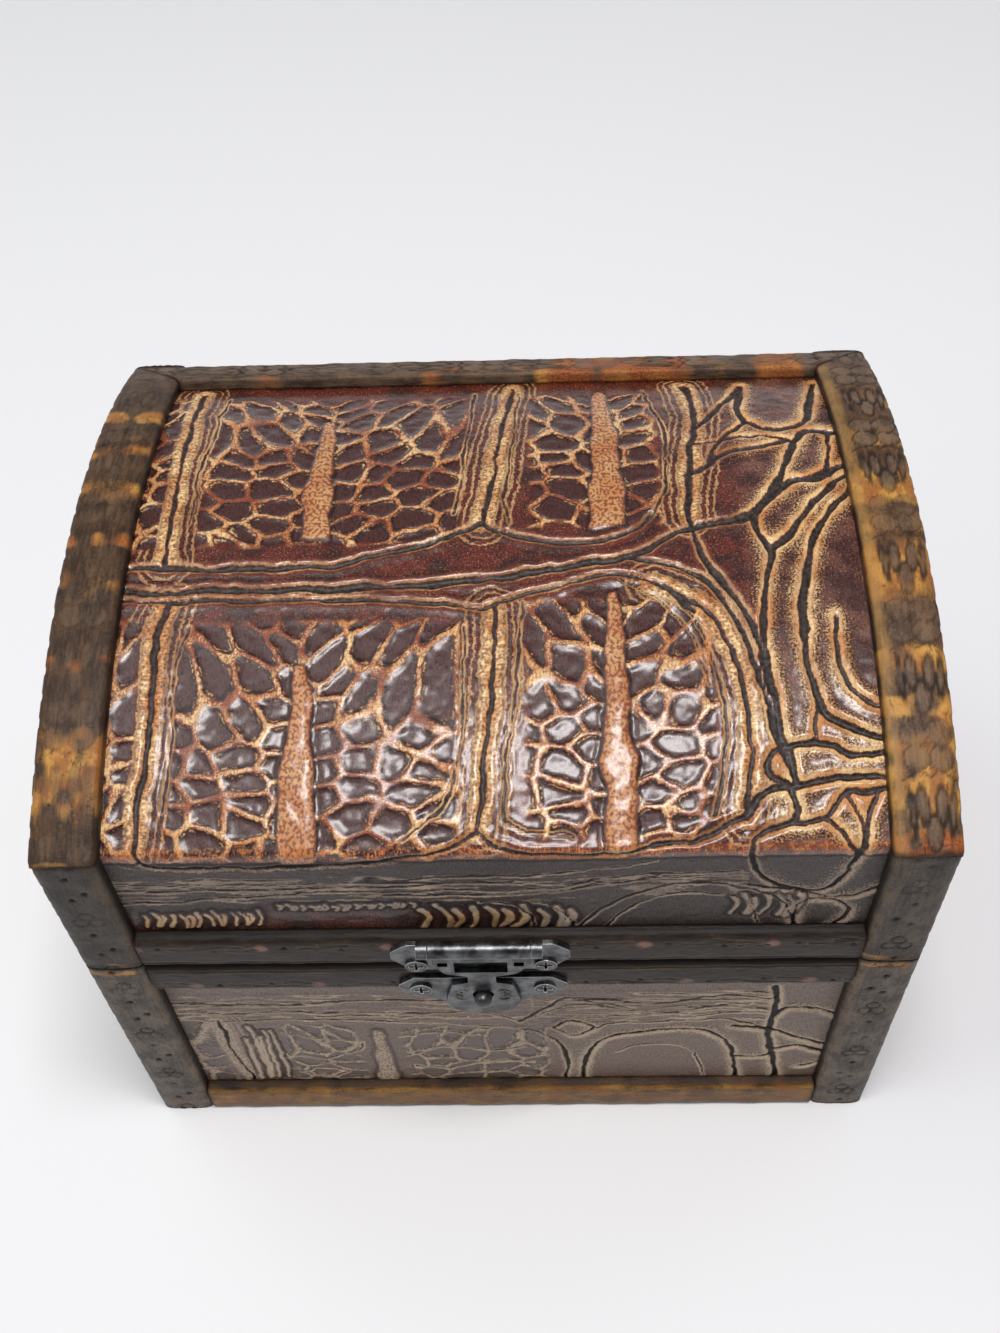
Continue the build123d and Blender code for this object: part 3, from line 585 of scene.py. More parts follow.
def embossedHide():
    made = Recipe("embossed hide")
    where = made.field("sheet", "Vector")
    gap, hair, claw, side, cell, keel, ground = (
        made.field(key) for key in ("gap", "hair", "claw", "side", "cell", "keel", "ground")
    )
    fade, dull, pale, busy, crest = (made.field(key) for key in ("fade", "dull", "pale", "busy", "crest"))
    blotch = made.noise(where, 0.14, 3.0)
    brush = made.noise(made.stretch(where, (1.0, 0.3, 1.0)), 2.6, 4.0, 0.7)
    fleck = made.noise(where, 2.3, 4.0, 0.7)
    fine = made.noise(where, 1.1, 4.0, 0.65)
    dash = made.noise(made.stretch(where, (0.5, 1.25, 1.0)), 1.5, 2.0, 0.5)
    stipple = made.noise(made.stretch(where, (1.0, 0.8, 1.0)), 1.55, 1.0, 0.4)
    worn = made.noise(where, 0.42, 3.0, 0.6)
    rough = (fine - 0.5) * 1.6 + (fleck - 0.5) * 0.8
    speck = fleck.step(0.44, 0.56)
    fray = (brush * 0.6 + fleck * 0.4).step(0.43, 0.55)
    # where the gilding shows
    broad = (gap + rough * 0.5).step(0.0, 0.2) * (side + rough * 1.3).step(2.7, 1.5)
    broad = broad * (0.2 + dash.step(0.53, 0.42) * 0.4 + stipple.step(0.56, 0.44) * 0.4)
    narrow = (gap + rough * 0.4).step(0.0, 0.15) * ((gap + rough * 0.9) * (1 - busy * 0.35)).step(0.75, 0.3)
    narrow = narrow * (fade * 0.5 + dull * 0.4 + busy * 0.5 + 0.2) * (0.5 + fray * 0.5)
    net = (cell + rough * 0.7 + (worn - 0.5) * 0.9).step(0.42, 0.14)
    net = net * ground.step(-1.2, 0.2) * keel.step(0.0, -0.6)
    rim = (cell + rough * 0.4 - 0.72 + (worn - 0.5) * 0.6).size().step(0.18, 0.04) * ground.step(-0.6, 0.4)
    net = net.highest(rim * keel.step(-0.2, -0.7) * worn.step(0.5, 0.62) * 0.8)
    net = net * (fade * 0.7 + worn * 0.6 + speck * 0.3 + dull * 0.3).step(0.42, 0.85) * (0.3 + fray * 0.7)
    band = (keel + rough * 0.6).step(-0.1, 0.5) * (stipple.step(0.57, 0.45) * 0.65 + speck * 0.2 + dull * 0.1)
    lines = (side * 4.4 + fine * 8.0).wave().step(0.25, 0.75)
    combed = lines * side.step(1.6, 2.4) * side.step(6.6, 5.0) * ground.step(0.6, -0.2) * (0.4 + fray * 0.6)
    hairRim = (hair + rough * 0.2).step(0.02, 0.14) * (hair + rough * 0.45).step(0.55, 0.2)
    near = busy * gap.step(3.4, 0.8)
    loose = gap.step(0.4, 1.0) * ground.step(0.2, -0.8) * (fleck + near * 0.1 - 0.06).step(0.5, 0.57)
    burr = crest.step(0.3, 0.85) * (brush * 0.45 + fleck * 0.2 + worn * 0.35).step(0.5, 0.56)
    gilt = broad.highest(narrow).highest(net).highest(band).highest(combed * 0.6).highest(burr * 0.8)
    gilt = gilt.highest(hairRim * (0.2 + fade * 0.5 + dull * 0.3)).highest(loose * (0.25 + near * 0.5))
    gilt = gilt.highest((claw + rough * 0.25).step(0.22, -0.02) * 0.8)
    deep = (gap + rough * 0.2).step(0.06, -0.16).highest((hair + rough * 0.15).step(0.04, -0.1) * 0.9)
    deep = deep.highest((claw + rough * 0.3 - 0.7).size().step(0.45, 0.2) * 0.7)
    deep = deep.highest((crest + rough * 0.08).step(0.1, 0.3) * dull.step(0.12, 0.5) * 0.8)
    rusty = (cell + rough * 0.6).step(0.95, 0.35) * ground.step(-1.2, 0.2)
    rusty = rusty.highest(keel.step(-1.2, -0.2)).highest(gap.step(1.6, 0.4) * 0.6)
    rusty = rusty.highest(crest.step(0.1, 0.8) * (blotch * 0.5 + worn * 0.5).step(0.42, 0.54))
    pit = (cell + rough * 0.45).step(0.5, 0.85) * ground.step(0.0, 0.8) * keel.step(-0.4, -0.9)
    # painted shade: dark outlines round the pits, beside the keels and at the foot of the groove rims
    brink = (cell + rough * 0.3 - 0.62).size().step(0.26, 0.1)
    brink = brink * ground.step(-0.4, 0.6) * keel.step(0.2, -0.3)
    brink = brink.highest((keel + 0.45).size().step(0.5, 0.2))
    brink = brink.highest((gap - 1.7 + rough * 0.5).size().step(0.3, 0.1) * 0.5)
    # colours for the dome, then copies for the upright faces, which also have a duller finish: painted shade
    # for the darker band in front, painted pale light for the box front
    tints = hideTints
    hide = made.mix(blotch.step(0.4, 0.62), *tints["dome"])
    hide = made.mix(busy * (1 - dull) * 0.7, hide, made.mix(blotch.step(0.36, 0.6), *tints["crowded"]))
    hide = made.mix(brush.step(0.47, 0.6) * 0.75, hide, tints["edges"][0])
    shadowed = made.mix(brush.step(0.4, 0.66), *tints["shadowed"])
    greyed = made.mix(brush.step(0.4, 0.68), *tints["greyed"])
    # painted shade and light: upright faces take darker copies of the colours, and the box front paler ones
    hide = made.mix(dull, hide, made.mix(pale, shadowed, greyed))
    rust = made.mix(fleck.step(0.4, 0.6), *tints["rust"])
    rust = made.mix(dull * 0.9, rust, made.mix(pale, *tints["rustFront"]))
    pitColour = made.mix(brush.step(0.4, 0.66), *tints["pit"])
    pitColour = made.mix(dull, pitColour, made.mix(pale, *tints["pitFront"]))
    gold = made.mix(blotch.step(0.36, 0.64), *tints["gold"])
    gold = made.mix(brush.step(0.5, 0.7) * 0.35, gold, tints["goldWorn"][0])
    gold = made.mix(band * 0.8, gold, tints["goldWorn"][1])
    gold = made.mix(burr, gold, tints["edges"][1])
    gold = made.mix(dull * 0.92, gold, made.mix(pale, *tints["goldFront"]))
    groove = made.mix(fine.step(0.4, 0.65), *tints["groove"])
    groove = made.mix(dull, groove, made.mix(pale, *tints["grooveFront"]))
    colour = made.mix(rusty * 0.75, hide, rust)
    colour = made.mix(pit, colour, pitColour)
    colour = made.mix(brink * (0.9 - pale * 0.4), colour, made.mix(dull, *tints["brink"]))
    colour = made.mix(gilt, colour, gold)
    colour = made.mix(deep, colour, groove)
    height = fine * 0.45 + brush * 0.6 + fleck * 0.35 + gilt * 0.2
    normal = made.bump(height, 0.8, 0.0003)
    roughness = 0.25 + deep * 0.2 + gilt * 0.08 + (fine - 0.5) * 0.25 + dull * 0.12
    return made.finish(
        Base_Color=colour,
        Roughness=roughness,
        Normal=normal,
        Coat_Weight=0.64 - deep * 0.56 - dull * 0.58,
        Coat_Roughness=0.24,
        Specular_IOR_Level=0.26,
    )


hideMaterial = embossedHide()


# Faces that the camera doesn't see: how far each takes the front's duller finish and its painted shade and
# light, and their coarser grid
plainSide = {"dull": 0.45, "pale": 0.3, "step": 0.6}


def lidHides():
    seen = stripInX
    strip = chest["stripWidth"]
    ridgeLow = arcLength - strip * 1.04
    columns = hideGrid(-hideX, hideX, -seen, seen, lidHide["step"])
    rows = hideGrid(profileLow, arcLength / 2 + 60, profileLow + strip, ridgeLow, lidHide["step"])
    x, s = np.meshgrid(columns, rows)
    below, lowBand = 1 - rampUp(s, -1.0, 0.2), 1 - rampUp(s, -21.0, -18.5)
    looks = {
        "dull": below - 0.65 * lowBand * (1 - rampUp(x, 2.0, 12.0)),
        "crest": np.exp(-(((s - 1.6) / 2.0) ** 2)),
    }
    hidden = seenPart(x, -seen, seen) * seenPart(s, profileLow + strip, ridgeLow)
    pressed = lidHide, 11, x, s
    hidePiece("lid_hide", "lid_dome_leather", "lid", x, s, lidPlace, pressed, hidden, **looks)
    # the band down the back, the next row of the same sheet
    backTop = arcLength - hideTurn
    edges = backTop + 1.5, profileHigh - strip
    rows = hideGrid(backTop - 1, profileHigh, *edges, plainSide["step"])
    columns = hideGrid(-hideX, hideX, -seen, seen, plainSide["step"])
    x, s = np.meshgrid(columns, rows)
    hidden = seenPart(x, -seen, seen) * seenPart(s, *edges)
    pressed = lidHide, 31, -x, backTop - s + 112
    dull = plainSide["dull"]
    hidePiece("lid_back_hide", "lid_dome_leather", "lid", x, s, lidPlace, pressed, hidden, dull=dull)


boxFaces = {  # the pattern and its shift across and up, seed, how dull and painted in shade, how far painted in pale light, the grid's step
    "front": (boxHide, 0, 0, 51, 1.0, 1.0, boxHide["step"]),
    "back": (lidHide, 0, -9, 52, *plainSide.values()),
    "left": (lidHide, -18, -9, 53, *plainSide.values()),
    "right": (lidHide, 20, -9, 54, *plainSide.values()),
}


def boxHides():
    rim, strip = chest["rim"], chest["stripWidth"]
    for face, (pattern, shiftX, shiftS, seed, dull, pale, step) in boxFaces.items():
        long = face in ("front", "back")
        side = -1 if face in ("front", "left") else 1
        span, seen = (hideX, stripInX) if long else (boardY, hideY - strip)
        columns = hideGrid(-span, span, -seen, seen, step)
        x, s = np.meshgrid(columns, hideGrid(0, rim, strip, rim - strip, step))
        hidden = seenPart(x, -seen, seen) * seenPart(s, strip, rim - strip)
        pressed = pattern, seed, x + shiftX, s + shiftS

        def place(across, up, out):
            if long:
                return np.stack([-side * across, side * (hideY + out), up], -1)
            return np.stack([side * (hideX + out), side * across, up], -1)

        name, node = f"box_{face}_hide", f"base_{face}_leather" if long else f"base_{face}_end_leather"
        hidePiece(name, node, "base", x, s, place, pressed, hidden, dull=dull, pale=pale)


def domeTop(y, inset):
    return domeCentre + np.sqrt((domeRadius - inset) ** 2 - y**2)


def lidEndHides():
    # each end piece follows the dome: the rows run up to the arch
    low, strip = chest["lidBase"], chest["stripWidth"]
    seen = hideY - strip
    for name, side, shift, seed in (("left", -1, -16, 61), ("right", 1, 22, 62)):
        columns = hideGrid(-boardY, boardY, -seen, seen, plainSide["step"])
        parts = hideGrid(0, 60, strip, 58, plainSide["step"]) / 60
        y, part = np.meshgrid(columns, parts)
        up = low + part * (domeTop(y, 3.9) - low)
        archLow = domeTop(y, chest["stripThick"] + strip)
        hidden = seenPart(y, -seen, seen) * seenPart(up, low + strip, 200)
        hidden = hidden * (1 - rampUp(up, archLow - 0.3, archLow + 0.5))
        pressed = lidHide, seed, y + shift, up - 66
        turn = {"flip": side < 0, "dull": plainSide["dull"]}

        def place(across, up, out):
            return np.stack([side * (hideX + out), across, up], -1)

        name, node = f"lid_{name}_hide", f"lid_{name}_end_leather"
        hidePiece(name, node, "lid", y, up, place, pressed, hidden, **turn)


lidHides()
boxHides()
lidEndHides()
print("hides pressed")


# ---- the carved strips
carving = {
    "pitch": 24.6,  # a drop with leaves, then a clover
    "depth": 0.24,
    "leaves": [  # middle along, middle across, half length, half width, lean
        (3.3, 0.0, 3.3, 1.5, 0.0),
        (8.2, 1.7, 3.4, 1.05, 0.05),
        (8.2, -1.7, 3.4, 1.05, -0.05),
        (7.2, 3.7, 3.9, 0.6, 0.08),
        (7.2, -3.7, 3.9, 0.6, -0.08),
    ],
    "clover": [(16.6, -2.35, 2.45), (16.6, 2.35, 2.45), (21.2, -2.35, 2.45), (21.2, 2.35, 2.45)],
    "dots": [(18.9, -0.2), (18.6, 2.7)],
    "cusp": [(12.6, -5.2), (13.6, -3.2), (14.0, -1.4), (13.0, 0), (14.0, 1.4), (13.6, 3.2), (12.6, 5.2)],
    "slits": [  # thin cracks of the plain strips: width, then along and across
        (0.35, [(5.5, -3.1), (9, -2.7), (12, -3.6), (15.5, -3.9)]),
        (0.3, [(10, -4.2), (13, -4.5), (17.5, -3.7), (20.5, -4.0)]),
        (0.25, [(16.5, -2.0), (19, -1.6), (22.5, -2.7)]),
        (0.45, [(0, 4.1), (6, 4.2), (12.3, 4.05), (18, 4.15), (24.6, 4.1)]),
    ],
    "slitDots": [(3.0, -3.4), (13.8, -2.2)],
    "spot": (23.0, -3.2, 1.5),
    "loops": [(4.0, -1.55, 1.4), (4.0, 1.55, 1.4), (6.4, 0.0, 1.35)],  # curls of the upright strips
    "loopDots": [(12.6, 0.9), (14.8, -1.9), (20.6, 0.4)],
    "loopPitch": 22.0,
}


def leafGap(along, w, leaf):
    middle, across, reach, half, lean = leaf
    p, q = along - middle, w - across
    p, q = p + lean * q, q - lean * p
    return (np.hypot(p / reach, q / half) - 1) * half


def carveMarks(t, w, look):
    # distances to what is carved and burnt into a strip, at places along and across it
    pitch = carving["loopPitch"] if look["motif"] == "loops" else carving["pitch"]
    shaky = w + 0.22 * softNoise(t, w, 2.6, 72)
    along = (t - look["shift"] + 0.25 * softNoise(t, w, 3.0, 71)) % pitch
    outline = np.full(t.shape, 3.0)
    inside = np.full(t.shape, -3.0)
    dots = np.full(t.shape, 3.0)
    if look["motif"] == "leaves":
        for leaf in carving["leaves"]:
            gap = np.minimum(leafGap(along, shaky, leaf), leafGap(along - pitch, shaky, leaf))
            np.minimum(outline, np.abs(gap), out=outline)
            np.maximum(inside, -gap, out=inside)
        lobes = np.full(t.shape, 9.0)
        for middle, across, radius in carving["clover"]:
            np.minimum(lobes, np.hypot(along - middle, shaky - across) - radius, out=lobes)
        np.minimum(outline, np.abs(lobes), out=outline)
        np.maximum(inside, -lobes, out=inside)
        cusp = routeDistance(along, shaky, smoothRoute(carving["cusp"], 0.8), 3.0)
        np.minimum(outline, cusp, out=outline)
        for spotT, spotW in carving["dots"]:
            np.minimum(dots, np.hypot(along - spotT, shaky - spotW) - 0.5, out=dots)
        outline = outline - 0.12
    elif look["motif"] == "loops":
        for middle, across, radius in carving["loops"]:
            reach = np.hypot(along - middle, shaky - across)
            np.minimum(outline, np.abs(reach - radius), out=outline)
        for spotT, spotW in carving["loopDots"]:
            np.minimum(dots, np.hypot(along - spotT, shaky - spotW) - 0.65, out=dots)
        outline = outline - 0.1
    else:
        for width, points in carving["slits"]:
            route = smoothRoute(points, 0.8)
            for offset in (0, pitch):
                gap = routeDistance(along, shaky, route - (offset, 0), 3.0) - width / 2
                np.minimum(outline, gap, out=outline)
        for spotT, spotW in carving["slitDots"]:
            np.minimum(dots, np.hypot(along - spotT, shaky - spotW) - 0.5, out=dots)
        inside = 0.3 - np.abs(outline - 0.38)  # a worn lit edge beside each crack
    middle, across, radius = carving["spot"]
    spot = np.hypot(along - middle, w - across) - radius
    faint = 0.75 + 0.5 * softNoise(t, w * 0, 8.0, look["seed"] + 5)
    amount = np.clip(look["carved"] * np.clip(faint, 0.2, 1.2), 0, 1)
    cut = (1 - rampUp(outline, -0.12, 0.22)) * carving["depth"] + (1 - rampUp(dots, -0.35, 0.15)) * 0.4
    ink = np.maximum(1 - rampUp(outline, -0.05, 0.22), 1 - rampUp(dots, -0.1, 0.25))
    return cut * amount, ink * amount, rampUp(inside, -0.1, 0.25) * amount, 1 - rampUp(spot, -0.6, 0.4)


def stripSection(width, look):
    # half the way round a strip: up one side, across the crowned top, down the other
    half, thick, rounding = width / 2, chest["stripThick"], look["rounding"]
    flank = [(-half, h) for h in np.linspace(0, thick - rounding, 4)]
    turns = [math.radians(a) for a in (18, 36, 54, 72)]
    left = [(-half + rounding * (1 - math.cos(a)), thick - rounding * (1 - math.sin(a))) for a in turns]
    top = [(w, thick) for w in between(-half + rounding, half - rounding, look["step"])]
    right = [(-w, h) for w, h in reversed(left)]
    other = [(-w, h) for w, h in reversed(flank)]
    line = np.array(flank + left + top + right + other)
    around = np.concatenate([[0], np.cumsum(np.linalg.norm(np.diff(line, axis=0), axis=1))])
    return line, around


def stripPart(place, ends, width, look, offset):
    # vertices, faces and fields of one strip; place turns (along, across, out) into x, y, z
    section, around = stripSection(width, look)
    w, h = section[:, 0], section[:, 1]
    start, stop = ends(w, h)
    length = float(np.max(stop) - np.min(start))
    count = max(4, int(length / look["step"]))
    part = np.linspace(0, 1, count)[:, None]
    t = start[None, :] + part * (stop - start)[None, :]
    across = np.broadcast_to(w, t.shape)
    out = np.broadcast_to(h, t.shape)
    half, thick, seed = width / 2, chest["stripThick"], look["seed"]
    top = rampUp(out, thick - 0.9, thick - 0.1)
    turned = across * look["outer"]  # plus is the outer edge
    depth, ink, inside, spot = carveMarks(t, (turned * 5.9 / half - look["aside"]) * 1.1, look)
    glow = np.zeros(t.shape)
    rust = np.zeros(t.shape)
    for middle, reach, strength, *rusty in look["glow"]:
        here = np.exp(-(((t - middle) / reach) ** 4))
        glow = np.maximum(glow, strength * here)
        rust = np.maximum(rust, here * (rusty[0] if rusty else 0.12))
    rust = np.clip(rust + 0.35 * softNoise(t, across, 3.5, seed + 9), 0, 1)
    glow = glow * (0.8 + 0.5 * look["patchy"] * softNoise(t, across, 2.5, seed + 6))
    glow = glow + 0.25 * look["patchy"] * softNoise(t, across * 2, 5.0, seed + 7)
    # nicks along the long edges, and the wear of years
    beat = np.cos(2 * math.pi * (t - look["shift"]) / 6.15 + 1.6 * softNoise(t, t * 0, 9.0, seed))
    nick = rampUp(beat, 0.3, 0.95) * look["nicks"]
    edge = rampUp(np.abs(across) / half, 0.74, 0.95)
    bite = nick * edge * rampUp(out, thick * 0.3, thick * 0.8) * (0.4 + 0.6 * (turned > 0))
    wear = 0.10 * softNoise(t, across, 4.0, seed + 1) + 0.05 * softNoise(t, across * 3, 1.3, seed + 2)
    crown = look["crown"] * (across / half) ** 4
    out = out - depth * top - bite * 0.5 - (crown + 0.1 + wear) * rampUp(out, 0.5, 2.5)
    inward = np.sign(across) * (bite * 0.5 + 0.06 * (1 + softNoise(t, out, 3.5, seed + 3)))
    inward = inward * rampUp(np.abs(across) / half, 0.88, 0.99) * rampUp(out, 0.4, 1.2)
    burnt = look["scorch"] * (1 + 0.4 * softNoise(t, across, 2.0, seed + 8))
    scorch = 1 - rampUp(np.minimum(t - start, stop - t), 0.1 * burnt, burnt)
    # painted shade along the seam between lid and box, on the outer edge of the lip and rim strips
    seamShade = rampUp(turned / half, 0.55, 0.95) * look["seamShade"]
    inked = np.maximum(ink, 0.6 * nick * edge * (turned > 0))
    grain = np.stack([t + 300 * seed, np.broadcast_to(around, t.shape), 0 * t], -1)
    spots = place(t, across - inward, out).reshape(-1, 3)
    rows, columns = t.shape
    total = rows * columns
    faces = gridFaces(rows, columns, offset, flip=True)
    back = [offset + k * columns for k in range(rows)]
    hard = [[k + columns, k, k + columns - 1, k + 2 * columns - 1] for k in back[:-1]]
    hard.append([offset + k for k in range(columns)])
    hard.append([offset + total - 1 - k for k in range(columns)])
    fields = {
        # ink holds the carved marks, nicks and burnt ends, and also the painted seam shade
        "ink": np.maximum(inked * top, np.maximum(0.7 * scorch, seamShade)),
        "inside": inside * top,
        "spot": spot * top * look["spots"],
        "glow": np.clip(glow, 0, 1),
        "top": np.maximum(top, look["flank"]),
        "rim": rampUp(-turned / half, 0.5, 0.8) * look["margin"],
        "rust": rust,
        "tone": 0 * t + look["tone"],
        "ash": 0 * t + look["ash"],
        "grain": grain,
    }
    return spots, faces, hard, {key: values.reshape(total, -1) for key, values in fields.items()}


woodTints = paints(
    stained=((60, 42, 30), (102, 74, 49)),
    streaked=((44, 33, 27), (34, 25, 20)),  # dark streaks, and fine cracks
    ashen=((50, 44, 39), (104, 93, 82)),
    plain=((16, 14, 13), (42, 36, 32)),
    ochre=((190, 142, 68), (150, 100, 50)),
    rusted=((158, 86, 40), (104, 54, 30)),
    grit=((104, 74, 46), (150, 126, 100)),
    carved=((80, 66, 54), (120, 102, 84)),
    # side faces painted near black as shade
    side=((14, 11, 10), (34, 27, 22)),
    # burnt marks, also used to paint the shade at the seam
    ink=((20, 16, 14), (42, 32, 27)),
    marks=((150, 110, 94), (158, 122, 70)),  # the round pink spots, and the pale inner margin
)


def stripWood():
    made = Recipe("carved strip wood")
    tints = woodTints
    grain = made.field("grain", "Vector")
    ink, inside, glow, rust, top, rim, tone, ash, spot = (
        made.field(key) for key in ("ink", "inside", "glow", "rust", "top", "rim", "tone", "ash", "spot")
    )
    long = made.stretch(grain, (0.12, 1.0, 1.0))
    fibre = made.noise(long, 1.5, 5.0, 0.65)
    streak = made.noise(long, 0.5, 3.0, 0.6, 0.6)
    patch = made.noise(made.stretch(grain, (0.6, 0.9, 1.0)), 0.24, 4.0, 0.65)
    grit = made.noise(grain, 1.7, 4.0, 0.62)
    crack = made.noise(made.stretch(grain, (0.3, 1.0, 1.0)), 1.25, 3.0, 0.6, 0.5)
    mottle = (patch * 0.5 + fibre * 0.3 + grit * 0.2).step(0.4, 0.6)
    wood = made.mix(mottle, *tints["stained"])
    wood = made.mix(streak.step(0.54, 0.72) * 0.4, wood, tints["streaked"][0])
    wood = made.mix(ash, wood, made.mix(mottle, *tints["ashen"]))
    wood = made.mix(tone, wood, made.mix(fibre.step(0.36, 0.66), *tints["plain"]))
    ochre = made.mix((patch + (streak - 0.5) * 0.3).step(0.44, 0.58), *tints["ochre"])
    bright = made.mix(rust, ochre, made.mix(grit.step(0.4, 0.62), *tints["rusted"]))
    bright = made.mix(grit.step(0.5, 0.72) * 0.5, bright, tints["grit"][0])
    lit = glow + (patch - 0.5) * 0.5 + (fibre - 0.5) * 0.3 + (grit - 0.5) * 0.5
    lit = lit.step(0.25, 0.75)
    colour = made.mix(lit * (1 - inside * 0.85), wood, bright)
    colour = made.mix(inside * 0.55, colour, made.mix(mottle, *tints["carved"]))
    colour = made.mix(spot * 0.7, colour, tints["marks"][0])
    colour = made.mix(grit.step(0.62, 0.8) * 0.35, colour, tints["grit"][1])
    colour = made.mix(crack.step(0.6, 0.68) * 0.6 * (1 - inside * 0.5), colour, tints["streaked"][1])
    colour = made.mix(rim * (0.4 + mottle * 0.4) * top, colour, tints["marks"][1])
    # painted shade: the side faces go near black, a little less under a bright top
    colour = made.mix((1 - top) * (0.95 - lit * 0.25), colour, made.mix(fibre, *tints["side"]))
    # burnt marks and the painted seam shade
    colour = made.mix(ink * 0.88, colour, made.mix(fibre, *tints["ink"]))
    normal = made.bump(fibre * 0.6 + grit * 0.6, 0.5, 0.0003)
    roughness = 0.46 + (fibre - 0.5) * 0.3 + ink * 0.2
    return made.finish(Base_Color=colour, Roughness=roughness, Normal=normal, Specular_IOR_Level=0.18)


stripMaterial = stripWood()
plainLook = {  # what a strip looks like unless its own look says otherwise
    "rounding": 1.0,  # of the long edges, in mm
    "crown": 0.35,  # how far the top falls away to its edges, in mm
    "step": 0.45,  # between the points of its mesh, in mm
    "shift": 0.0,  # where its carving starts
    "motif": "leaves",  # or loops or slits
    "carved": 0.9,
    "nicks": 0.5,
    "glow": [],  # bright patches: place, reach, strength and how rusty
    "patchy": 1.0,
    "spots": 0.0,
    "tone": 0.0,  # how near black it is
    "outer": 1,  # which side is the outer edge
    "aside": 0.0,
    "ash": 0.0,
    "margin": 0.0,
    "flank": 0.0,  # how far its sides are spared the painted shade of the side faces
    "scorch": 1.0,
    # how far its outer edge is painted dark as shade at the seam
    "seamShade": 0.0,
    "seed": 1,
}


def stripPiece(name, node, body, parts, **look):
    # one strip, or several lengths that make one piece
    look = {**plainLook, **look}
    spots, faces, hard, fields = [], [], [], {}
    offset = 0
    for place, ends, width in parts:
        newSpots, newFaces, newHard, newFields = stripPart(place, ends, width, look, offset)
        offset += len(newSpots)
        spots.append(newSpots)
        faces += newFaces
        hard += newHard
        for key, values in newFields.items():
            fields.setdefault(key, []).append(values)
    joined = {key: np.concatenate(values) for key, values in fields.items()}
    joined = {key: values if values.shape[1] == 3 else values[:, 0] for key, values in joined.items()}
    spots = np.concatenate(spots)
    piece = makeMesh(name, spots, faces + hard, body, [node], stripMaterial, joined)
    smooth = [True] * len(faces) + [False] * len(hard)
    piece.data.polygons.foreach_set("use_smooth", smooth)


def straight(origin, along, across):
    # places of a straight strip; it stands out along the cross product of along and across
    origin, along, across = (np.array(v, float) for v in (origin, along, across))
    out = np.cross(along, across)
    return lambda t, w, h: origin + t[..., None] * along + w[..., None] * across + h[..., None] * out


def level(start, stop):
    return lambda w, h: (start + 0 * w, stop + 0 * w)


cornerLook = {
    "motif": "loops",
    "crown": 0.8,
    "rounding": 1.3,
    "nicks": 0.25,
    "carved": 1.5,
    "ash": 0.85,
    "margin": 0.15,
}


def cornerStrips():
    wide, low = chest["cornerWidth"], chest["lidBase"]
    mitre = (chest["crease"] - hideCrease) / chest["stripThick"]

    def lidEnds(w, h):
        return low + 0 * w, hideCrease + mitre * h

    for sideX, nameX in ((-1, "left"), (1, "right")):
        for sideY, nameY in ((-1, "front"), (1, "back")):
            place = straight((sideX * (stripInX + wide / 2), sideY * hideY, 0), (0, 0, 1), (sideY, 0, 0))
            shift = 4.0 - 9 * (sideX < 0)
            look = {**cornerLook, "outer": sideX * sideY, "seed": 14 + 2 * sideX + sideY, "shift": shift}
            piece = f"base_{nameY}_{nameX}_corner"
            box = [(place, level(0.0, chest["rim"]), wide)]
            stripPiece(piece, piece + "_strip", "base", box, glow=[(73.4, 1.2, 0.6), (3, 2.5, 0.3)], **look)
            look.update(tone=0.25 if sideX > 0 else 0.55, scorch=2.2, shift=shift + 8)
            piece = f"lid_{nameY}_{nameX}_corner"
            stripPiece(
                piece, piece + "_strip", "lid", [(place, lidEnds, wide)], glow=[(76.8, 1.2, 0.5)], **look
            )


def onDome(x, radius, angle):
    return np.stack([x, radius * np.sin(angle), domeCentre + radius * np.cos(angle)], -1)


def arcPlace(middleX):
    # along the dome from front to back, across it in x, out from the hide
    def place(t, w, h):
        return onDome(middleX - w + 0 * t, hideRadius + h, t / domeRadius - chest["domeAngle"])
    return place


domeLooks = {  # glowing patches along each dome strip: place, reach, strength, how rusty
    -1: {
        "glow": [
            (-0.5, 1.5, 0.6), (16.5, 9.0, 0.8, 0.3), (38, 2.0, 0.5, 0.8), (56, 5, 0.35, 0.3),
            (66, 2.0, 0.6, 0.8), (79, 4, 0.45), (94, 4, 0.6, 0.5), (105, 3, 0.8),
        ],
        "carved": 0.35,
        "shift": 7.0,
        "tone": 0.4,
        "nicks": 0.35,
    },
    1: {
        "glow": [
            (2.3, 3.2, 1.0, 0.85), (15, 11.5, 0.85), (27, 2.5, 1.0), (36.5, 3.2, 0.8),
            (55, 7.2, 0.9, 0.35), (67, 3.5, 0.35), (77, 6.5, 0.85), (92, 4.0, 0.5), (104, 3.0, 0.3),
        ],
        "carved": 1.0,
        "shift": 25.4,
        "aside": 0.9,
        "margin": 0.8,
        "nicks": 0.3,
    },
}


def domeStrips():
    thick, width = chest["stripThick"], chest["cornerWidth"]
    ridgeStart = arcLength - chest["stripWidth"]
    for side, name in ((-1, "left"), (1, "right")):

        def ends(w, h):
            outer = np.clip(0.5 - side * w / width, 0, 1)  # 1 at the outer edge
            start = hideTurn * (1 - h / thick)
            stop = ridgeStart + outer * chest["stripWidth"]
            return start, np.minimum(stop, arcLength - hideTurn * (1 - h / thick))

        stripPiece(
            f"lid_dome_{name}",
            f"lid_dome_{name}_strip",
            "lid",
            [(arcPlace(side * (stripInX + width / 2)), ends, width)],
            outer=-side,
            seed=41 + side,
            crown=0.6,
            scorch=1.6,
            **domeLooks[side],
        )


